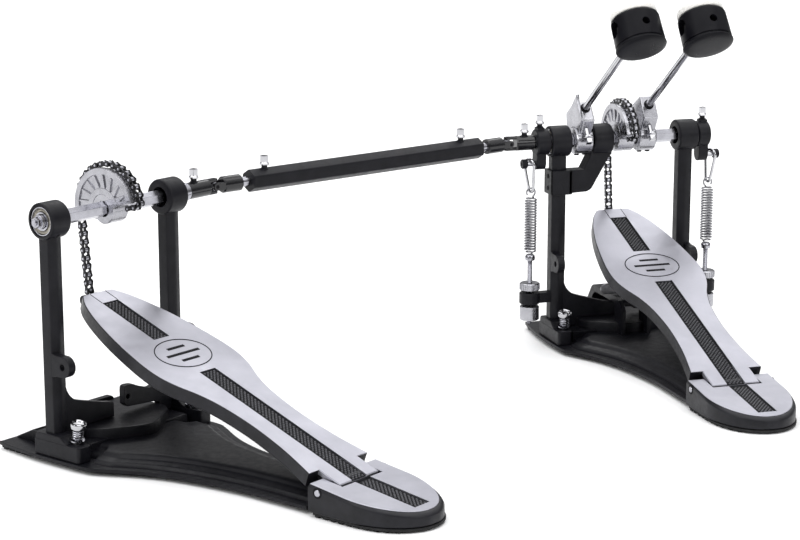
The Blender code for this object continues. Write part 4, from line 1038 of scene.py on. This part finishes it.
def beater_hub(side, body):
    """Bright clamp: collar on the shaft, angled block with its split jaw, key screw and two set screws."""
    piece = Piece("cast_grey", "chrome", "near_black_and_hole_shade", "black_coat")
    at = lean_matrix(side)
    low_block = [(8, -9), (21.5, -9), (27.4, -4), (27.4, 26.6), (7, 27), (0, 13)]
    fin = [(8, -9), (21.5, -9), (31, -4), (31, 12), (34.4, 29.6), (27, 27), (7, 27), (0, 13)]
    plain = [(8, -9), (21.5, -9), (31, -4), (31, 12), (29.5, 28.6), (7, 27), (0, 13)]
    if side == "left":
        piece.prism(fin, "x", -7.2, -3.8, 0.9, at)
        piece.prism(low_block, "x", -4.6, 7.2, 1.6, at, 3)
    else:
        piece.prism(plain, "x", -7.6, 7.6, 1.2, at)
    collar = [(-8.6, 6.8), (-8.6, 12.2), (-7.6, 13.2), (7.6, 13.2), (8.6, 12.2), (8.6, 6.8)]
    piece.turned(collar, "x", ORIGIN, 44, at)
    top = 26.4 if side == "left" else 27.6
    # Painted shade: a near-black ring round the rod where it enters the block stands in for the shadowed
    # gap.
    hole = [(top, 3.5), (top, 4.9), (top + 0.8, 4.9), (top + 0.9, 3.5)]
    piece.turned(hole, "z", (0, ROD_OFFSET, 0), 28, at, "near_black_and_hole_shade")
    screw = at @ moved(0, -6.6, 18) @ spun(radians(90), "X")
    neck = [(-9, 0), (-9, 2.4), (-1, 2.4), (-1, 4.4), (0.4, 4.6), (1.4, 3.4), (1.6, 0)]
    piece.turned(neck, "z", ORIGIN, 28, screw, "chrome")
    piece.box((-2.6, 2.6), (-2.6, 2.6), (1.2, 6.2), 0.5, screw, "chrome")
    for dx in (-4.2, 4.2):
        foot = moved(BEATER_X[side] + dx, 0, SHAFT_Z)
        piece.rod("z", ORIGIN, 2.5, -14.5, -11, 0.3, 20, foot, "black_coat")
    show(piece.done("beater_clamp_" + side), "beater_hub_" + side, body)


def beater_rod(side, body):
    """Plain round rod through the clamp and the head."""
    piece = Piece("chrome")
    piece.rod("z", (0, ROD_OFFSET, 0), ROD_RADIUS, -17, HEAD_REACH + 12, 0.5, 40, lean_matrix(side))
    show(piece.done("beater_stem_" + side), "beater_rod_" + side, body)


def beater_head(side, body):
    """Moulded drum with a flared lower cap, bored for the rod, with a side pocket for its clamp."""
    piece = Piece("black_plastic", "near_black_and_hole_shade")
    at = head_matrix(side)
    drum = ((-13.6, 0), (-13.6, 21.8), (-12.6, 21.8), (-12.2, 22.5), (-11.4, 22.8), (11.6, 22.3),
            (13.2, 21.8), (14.1, 20.8), (14.3, 19.6), (14.3, 0))
    pocket = pushed_outline(arc((3, 0), 7.6, 0, 348.75, 31), "x", -30, -16.5)
    bore = pushed_outline(arc((0, 0), ROD_RADIUS + 0.25, 0, 348.75, 31), "z", -40, 40)
    piece.carved(revolved(drum, "y", 64), [pocket, bore], at=at)
    cap = [(-18.2, 0), (-18.1, 12), (-17.8, 17.8), (-17.3, 20.6), (-16.4, 22.6), (-15.3, 23.3),
           (-14.2, 23.1), (-13.4, 22.2), (-13.4, 0)]
    piece.turned(cap, "y", ORIGIN, 64, at)
    piece.rod("x", (0, 3, 0), 3.6, -18.4, -15, 0.5, 6, at=at, finish="near_black_and_hole_shade")
    show(piece.done("beater_body_" + side), "beater_head_" + side, body)


def beater_felt(side, body):
    """Pressed felt face with a rolled edge and a very slightly crowned top."""
    piece = Piece("felt")
    at = head_matrix(side)
    profile = [(14.5, 0), (14.5, 20.2), (15.3, 21.2), (17.7, 21.6), (19.9, 21.3), (21.7, 20.1),
               (22.9, 18.1), (23.6, 13.6), (23.9, 7), (24, 0)]
    piece.turned(profile, "y", ORIGIN, 64, at)
    item = show(piece.done("beater_pad_" + side, sharp=60), "beater_felt_" + side, body)


def spring_arm(side, body):
    """Clamp ring on the shaft's end, its key screw, and the lug and pin that pull the spring."""
    piece = Piece("black_coat", "chrome", "near_black_and_hole_shade")
    ring = [(-90, 6.1), (-90, 11.4), (-89, 12.6), (-78, 12.6), (-77, 11.6), (-77, 6.1)]
    piece.turned(ring, "x", AXLE, 40)
    piece.box((-88.8, -81.2), (-4.6, 4.6), (SHAFT_Z + 9, SHAFT_Z + 14.5), 1)
    low = SHAFT_Z - ARM_RADIUS
    lug = [(-6.4, SHAFT_Z - 5), (-6, low)] + arc((0, low), 6, 180, 360, 16)
    lug += [(6, low), (6.4, SHAFT_Z - 5)]
    piece.prism(lug, "x", -89.6, -80, 0.9)
    piece.rod("x", (0, 0, low), 2.6, -101, -88, 0.3, 28, finish="chrome")
    piece.rod("x", (0, 0, low), 4.6, -103, -97.6, 0.7, 32)
    # Painted shade: a near-black hexagon on the pin's head stands in for the dark of its socket.
    piece.rod("x", (0, 0, low), 1.9, -103.3, -102.6, 0.05, 6, finish="near_black_and_hole_shade")
    key_screw(piece, (-85, 0, SHAFT_Z + 14.5))
    piece.mirror_right(side)
    show(piece.done("spring_lever_" + side), "spring_arm_" + side, body)


def spring_and_clip(side, clip_body):
    """Drop-shaped wire link, and the coil that stretches between it and the tension rod."""
    pin_z = SHAFT_Z - ARM_RADIUS
    skew = radians(30 if side == "left" else -30)
    link = []
    for along, z in arc((0, 0), 5.8, -12, 192, 22):
        link.append((-95 - along * sin(skew), along * cos(skew), pin_z - 1.6 + z))
    for along, z in arc((0, 0), 2.6, 192, 348, 10):
        link.append((-SPRING_X - along * sin(skew), along * cos(skew), 154.6 + z))
    clip = Piece("chrome")
    clip.wire(link, 1.4, 12, closed=True)
    clip.mirror_right(side)
    show(clip.done("spring_link_" + side), "spring_clip_" + side, clip_body)
    low, high = COIL_SPAN
    turns = 21
    steps = 16
    points = []
    for i in range(turns * steps + 1):
        share = i / (turns * steps)
        taper = min(1, 0.42 + min(share, 1 - share) * 14)
        turn = 2 * pi * i / steps
        radius = COIL_RADIUS * taper
        z = low + (high - low) * share
        points.append((-SPRING_X + radius * cos(turn), radius * sin(turn), z))
    hook = [(-SPRING_X + a, 0, high + 4.4 + b) for a, b in arc((0, 0), 4.3, -60, 215, 14)]
    foot = [(-SPRING_X, 0, 86), (-SPRING_X, 0, 90)]
    coil = Piece("spring_steel")
    coil.wire(foot + points + hook, COIL_WIRE, 8)
    coil.mirror_right(side)
    item = coil.done("spring_coil_" + side)
    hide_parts("return_spring_" + side)
    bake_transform(item)


def tension_rod(side, body):
    """Threaded rod with a knurled lock nut over the bracket and a barrel nut under it."""
    piece = Piece("cast_grey", "bright_steel")
    thread = [(22, 0), (22, 2.2)]
    for i in range(62):
        z = 22.4 + i
        thread += [(z, 2.1), (z + 0.5, 2.5)]
    thread += [(84.6, 2.2), (85, 4.4), (86, 5), (89, 4.8), (90.6, 3.4), (90.6, 0)]
    piece.turned(thread, "z", (-SPRING_X, 0, 0), 20, finish="bright_steel")
    barrel = [(26, 2.4), (26, 8.6), (26.8, 9.4), (38.8, 9.4), (39.8, 8.6), (41.2, 3.6), (41.2, 2.4)]
    piece.turned(barrel, "z", (-SPRING_X, 0, 0), 40)
    nut = [(53.8, 2.4), (53.8, 3.6), (55.2, 9), (55.9, 9.6), (61.8, 9.6), (62.6, 8.8), (62.6, 2.4)]
    piece.turned(nut, "z", (-SPRING_X, 0, 0), 40)
    for i in range(26):
        turn = moved(-SPRING_X, 0, 0) @ spun(2 * pi * i / 26, "Z")
        piece.box((9.3, 10), (-0.55, 0.55), (56.2, 61.6), 0.2, turn)
    piece.mirror_right(side)
    show(piece.done("spring_adjuster_" + side), "tension_rod_" + side, body)


# ---------------------------------------------------------------- main pedal extras


def mid_bracket(body):
    """Clamp on the left column whose arm carries the middle bearing."""
    piece = Piece("black_coat", "near_black_and_hole_shade")
    wide = (-75.8, -54.4)
    deep = (-10.4, 9.6)
    for x, y in (((wide[0], -73.8), deep), ((-58.2, wide[1]), deep), (wide, (deep[0], -7.5)),
                 (wide, (6.2, deep[1]))):
        piece.box(x, y, (149, 172.6), 0.9)
    arm = [(-57, 149.8), (-38.5, 150.6)] + arc((-40.5, 160), 9.4, -75, -35, 5) + [
        (-14, 187), (-14, 196), (-33, 196), (-35.5, 185), (-42, 172.4), (-57, 172.4)]
    piece.prism(arm, "y", -8, 6, 1.5)
    low = MID_HUB_X - HUB_LENGTH / 2
    high = MID_HUB_X + HUB_LENGTH / 2
    seat = BEARING_RADIUS + 0.3
    piece.turned([(low, seat)] + hub_rim(low, high, 13.6) + [(high, seat)], "x", AXLE, 48)
    for screw_z in (155, 166.5):
        piece.rod("x", (0, -0.5, screw_z), 2.3, -76.3, -75, 0.3, 20, finish="near_black_and_hole_shade")
    show(piece.done("middle_bracket"), "mid_bracket", body)


def hoop_clamp(body):
    """Rocking jaw: rounded tail on its hinge pin, flat arm and hooked nose."""
    piece = Piece("black_coat", "chrome")
    y, z = JAW_PIN
    side = [(y - 4, z - 2.4)] + arc(JAW_PIN, 4.2, 200, 90, 8) + [(-18, 46.9), (34, 46.9)]
    side += arc((35, 34), 12.8, 84, 34, 6)
    side += [(57, 26), (60.5, 16.6), (52, 16.1), (47, 24), (40, 35.5), (34, 39.7), (y, 39.7)]
    jaw = pushed_outline(side, "x", -10.3, 10.3)
    slot = pushed_outline(arc((0, WING_Y), 3.3, 0, 337.5, 15), "z", 30, 60)
    piece.carved(jaw, [slot], 0.8)
    nose = ((50.5, 18), (60.4, 16.8), (57.5, 25), (50, 25))
    piece.prism(nose, "x", -15.9, 15.9, 1)
    piece.rod("x", (0, y, z), 1.8, -14.7, 14.7, 0.3, 20, finish="chrome")
    show(piece.done("hoop_jaw"), "hoop_clamp", body)


def wing_screw(body):
    """Screw of the hoop clamp, with two round-ended wings."""
    piece = Piece("wing_grey", "bright_steel")
    piece.rod("z", (0, WING_Y, 0), 2.9, 30.6, 50.8, 0.5, 28, finish="bright_steel")
    piece.rod("z", (0, WING_Y, 0), 5.4, 47.5, 53.3, 0.9, 32)
    for side in (-1, 1):
        outline = [(side * 2, 47.9), (side * 10, 48.5)]
        outline += [(side * (18.5 + a), 53.6 + b) for a, b in arc((0, 0), 5.1, -100, 80, 12)]
        outline += [(side * 8, 53.2), (side * 2, 52.2)]
        piece.prism(outline, "y", WING_Y - 1.9, WING_Y + 1.9, 0.9)
    show(piece.done("jaw_screw"), "wing_screw", body)


# ---------------------------------------------------------------- drive line


def fork(piece, length, at):
    """Universal joint fork: barrel, two rounded ears with their pins, pointing at +X from its barrel."""
    end = -YOKE_REACH
    barrel = [(-length, 0), (-length, 6.2), (-length + 1, YOKE_RADIUS), (end - 1.2, YOKE_RADIUS),
              (end, 6.2), (end, 0)]
    piece.turned(barrel, "x", ORIGIN, 40, at)
    for sign in (-1, 1):
        low, high = sorted((sign * 4.1, sign * 6.5))
        ear = [(end - 3, -3.4)] + arc((0, 0), 3.4, -90, 90, 14) + [(end - 3, 3.4)]
        piece.prism(ear, "z", low, high, 0.5, at)
        low, high = sorted((sign * 6.2, sign * 6.8))
        piece.rod("z", ORIGIN, 1.7, low, high, 0.2, 20, at=at, finish="near_black_and_hole_shade")


def shaft_yoke(place, name, node, x, length, body):
    """Fork clamped on a shaft's end, with its key screw on top."""
    piece = Piece("gloss_black", "near_black_and_hole_shade", "black_coat", "chrome")
    flip = spun(pi, "Z") if x < 0 else Matrix.Identity(4)
    fork(piece, length, moved(x, 0, SHAFT_Z) @ flip)
    out = 1 if x < 0 else -1
    key_screw(piece, (x + out * (length - 9.5), 0, SHAFT_Z + YOKE_RADIUS - 0.4))
    show(piece.done(name, place), node, body)


def drive_frame():
    """The jointed shaft's own frame: X from the remote joint to the main one."""
    start = REMOTE @ Vector((REMOTE_JOINT_X, 0, SHAFT_Z))
    end = Vector((MAIN_JOINT_X, 0, SHAFT_Z))
    span = end - start
    heading = atan2(span.y, span.x)
    return Matrix.Translation(start) @ spun(heading, "Z"), span.length


def drive_line(body):
    """Both slide rods with their forks, and the six-sided sleeve between them."""
    place, length = drive_frame()
    slide_radius = 4.3
    sleeve_flats = 17.6
    sleeve_start = 37
    for which, flip in (("remote", Matrix.Identity(4)), ("main", moved(length, 0, 0) @ spun(pi, "Z"))):
        piece = Piece("gloss_black", "near_black_and_hole_shade", "bright_steel")
        quarter = spun(pi, "Z") @ spun(pi / 2, "X")
        fork(piece, 27.5, flip @ quarter)
        piece.rod("x", ORIGIN, slide_radius, 26, 66, 0.4, 36, flip, "bright_steel")
        show(piece.done(which + "_slide_rod", place), "drive_rod_" + which, body)
    tube = Piece("black_coat", "chrome")
    radius = sleeve_flats / sqrt(3)
    outline = []
    for i in range(6):
        outline += arc((0, 0), radius - 0.35, 30 + 60 * i - 5, 30 + 60 * i + 5, 2)
    tube.prism(outline, "x", sleeve_start, length - sleeve_start, 0.5)
    for along in (54, length - 59):
        key_screw(tube, (along, 0, 9))
    show(tube.done("drive_sleeve", place), "drive_tube", body)
    return place, length


def joint_cross(place, name, along, body):
    """Spider of a universal joint: a waisted core and four trunnions."""
    piece = Piece("bright_steel")
    core = [(-3.4, 0), (-3.4, 2.6), (-2.6, 3.2), (2.6, 3.2), (3.4, 2.6), (3.4, 0)]
    for axis in ("z", "y"):
        piece.turned(core, axis, (along, 0, 0), 24)
        piece.rod(axis, (along, 0, 0), 1.45, -6.2, 6.2, 0.2, 20)
    show(piece.done(name + "_spider", place), name, body)


# ---------------------------------------------------------------- assembly


def pedal(place, prefix, with_springs, rotor):
    """What both pedals share."""
    base_plate(place, prefix, "floor_frame")
    base_sole(place, prefix, "floor_frame")
    for side in ("left", "right"):
        post(place, prefix, side, with_springs, "floor_frame")
        spike(place, prefix, side, f"{prefix}_{side}_spike")
    footboard(place, prefix, prefix + "_board")
    heel_plate(place, prefix, "floor_frame")
    heel_pin(place, prefix, "floor_frame")
    sprocket(place, prefix, rotor)
    chain(place, prefix, rotor)
    bearing(place, prefix + "_bearing_left", -POST_X - 5, "floor_frame")
    bearing(place, prefix + "_bearing_right", POST_X + 5, "floor_frame")


def main_pedal():
    pedal(MAIN, "main", True, "right_rotor")
    bearing(MAIN, "main_bearing_middle", MID_HUB_X, "floor_frame")
    mid_bracket("floor_frame")
    hoop_clamp("jaw")
    wing_screw("wing")
    runs = ((5.7, -22.7, -12), ("bar", -13, 62), (5.7, 61, 79), ("hex", 78, 92))
    shaft(MAIN, "right_axle", "main_shaft", runs, "right_rotor")
    runs = (("hex", -104, -78), (5.7, -79, -61), ("bar", -62, -33), (5.7, -34, -23.3))
    shaft(MAIN, "left_axle", "left_shaft", runs, "left_rotor")
    for side in ("left", "right"):
        beater_hub(side, side + "_rotor")
        beater_rod(side, side + "_rod")
        beater_head(side, side + "_head")
        beater_felt(side, side + "_head")
        spring_arm(side, side + "_rotor")
        spring_and_clip(side, side + "_clip")
        tension_rod(side, side + "_spring")
    shaft_yoke(MAIN, "main_fork", "yoke_main", MAIN_JOINT_X, 27, "left_rotor")


def remote_pedal():
    pedal(REMOTE, "remote", False, "remote_rotor")
    runs = ((2.6, -83, -77), ("nut", -81.4, -77.5), (5.7, -78, -61), ("bar", -62, 62),
            (5.7, 61, 79), (7.8, 78, 87), ("hex", 86, 104))
    shaft(REMOTE, "remote_axle", "remote_shaft", runs, "remote_rotor")
    shaft_yoke(REMOTE, "remote_fork", "yoke_remote", REMOTE_JOINT_X, 33.6, "remote_rotor")


def drive():
    place, length = drive_line("drive_line")
    joint_cross(place, "cross_remote", 0, "remote_cross")
    joint_cross(place, "cross_main", length, "main_cross")


# ---------------------------------------------------------------- floor, light and camera


def floor():
    """White ground for the picture only."""
    mesh = bpy.data.meshes.new("floor")
    mesh.from_pydata([(-6, -6, 0), (6, -6, 0), (6, 6, 0), (-6, 6, 0)], [], [(0, 1, 2, 3)])
    item = bpy.data.objects.new("floor", mesh)
    bpy.context.scene.collection.objects.link(item)
    m = Nodes("floor", (0.92, 0.92, 0.92), 1, 0)
    m.specular(0)
    m.colours((0.9, 0.9, 0.9), (0.94, 0.94, 0.94), 3)
    mesh.materials.append(m.material)
    item.location.z = -0.0002


def light(name, place, target, size, power):
    """A soft box aimed at a point."""
    data = bpy.data.lights.new(name, "AREA")
    data.shape = "RECTANGLE"
    data.size, data.size_y = size
    data.energy = power
    item = bpy.data.objects.new(name, data)
    item.location = place
    item.rotation_euler = (Vector(target) - Vector(place)).to_track_quat("-Z", "Y").to_euler()
    bpy.context.scene.collection.objects.link(item)


def sky_colour(world):
    """Grey near the horizon and white overhead, so bright metal has something dark to reflect."""
    tree = world.node_tree
    direction = tree.nodes.new("ShaderNodeTexCoord").outputs["Generated"]
    split = tree.nodes.new("ShaderNodeSeparateXYZ")
    tree.links.new(direction, split.inputs["Vector"])
    ramp = tree.nodes.new("ShaderNodeValToRGB")
    stops = ((0, 0.3), (0.06, 0.16), (0.3, 0.2), (0.55, 0.75), (0.8, 1))
    while len(ramp.color_ramp.elements) < len(stops):
        ramp.color_ramp.elements.new(0.5)
    for element, (height, grey) in zip(ramp.color_ramp.elements, stops):
        element.position = height
        element.color = (grey, grey, grey * 1.01, 1)
    tree.links.new(split.outputs["Z"], ramp.inputs["Fac"])
    tree.links.new(ramp.outputs["Color"], tree.nodes["Background"].inputs["Color"])
    tree.nodes["Background"].inputs["Strength"].default_value = 1.1


def studio():
    """Plain room: a pale world, a big soft box overhead and one on each side."""
    world = bpy.data.worlds.new("studio")
    world.use_nodes = True
    sky_colour(world)
    bpy.context.scene.world = world
    centre = (-0.28, -0.15, 0.12)
    light("overhead", (-0.4, -0.3, 2.2), centre, (3.4, 2.6), 36)
    light("backdrop", (0.9, 2.6, 2.4), (1.2, 3.6, 0), (3, 3), 60)
    light("left", (-2.3, -0.9, 1.2), centre, (1, 1.4), 14)
    light("front", (0.9, -2.4, 1.3), centre, (1.2, 0.8), 9)
    bpy.context.scene.view_settings.view_transform = "Standard"


def camera():
    """A long lens on the player's side, to the left and a little above."""
    data = bpy.data.cameras.new("camera")
    data.lens = 98.9
    data.sensor_width = 36
    item = bpy.data.objects.new("camera", data)
    item.location = (-0.838, -1.941, 0.548)
    item.rotation_euler = (radians(90 - 12.84), 0, radians(-17.53))
    bpy.context.scene.collection.objects.link(item)
    bpy.context.scene.camera = item


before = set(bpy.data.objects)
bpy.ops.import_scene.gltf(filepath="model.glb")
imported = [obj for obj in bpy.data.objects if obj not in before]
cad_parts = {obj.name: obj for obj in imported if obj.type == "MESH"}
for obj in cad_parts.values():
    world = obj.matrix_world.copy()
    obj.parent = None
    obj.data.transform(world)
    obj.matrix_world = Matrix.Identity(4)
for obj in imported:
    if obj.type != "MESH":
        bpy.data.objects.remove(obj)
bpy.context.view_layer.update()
main_pedal()
remote_pedal()
drive()
floor()
studio()
camera()
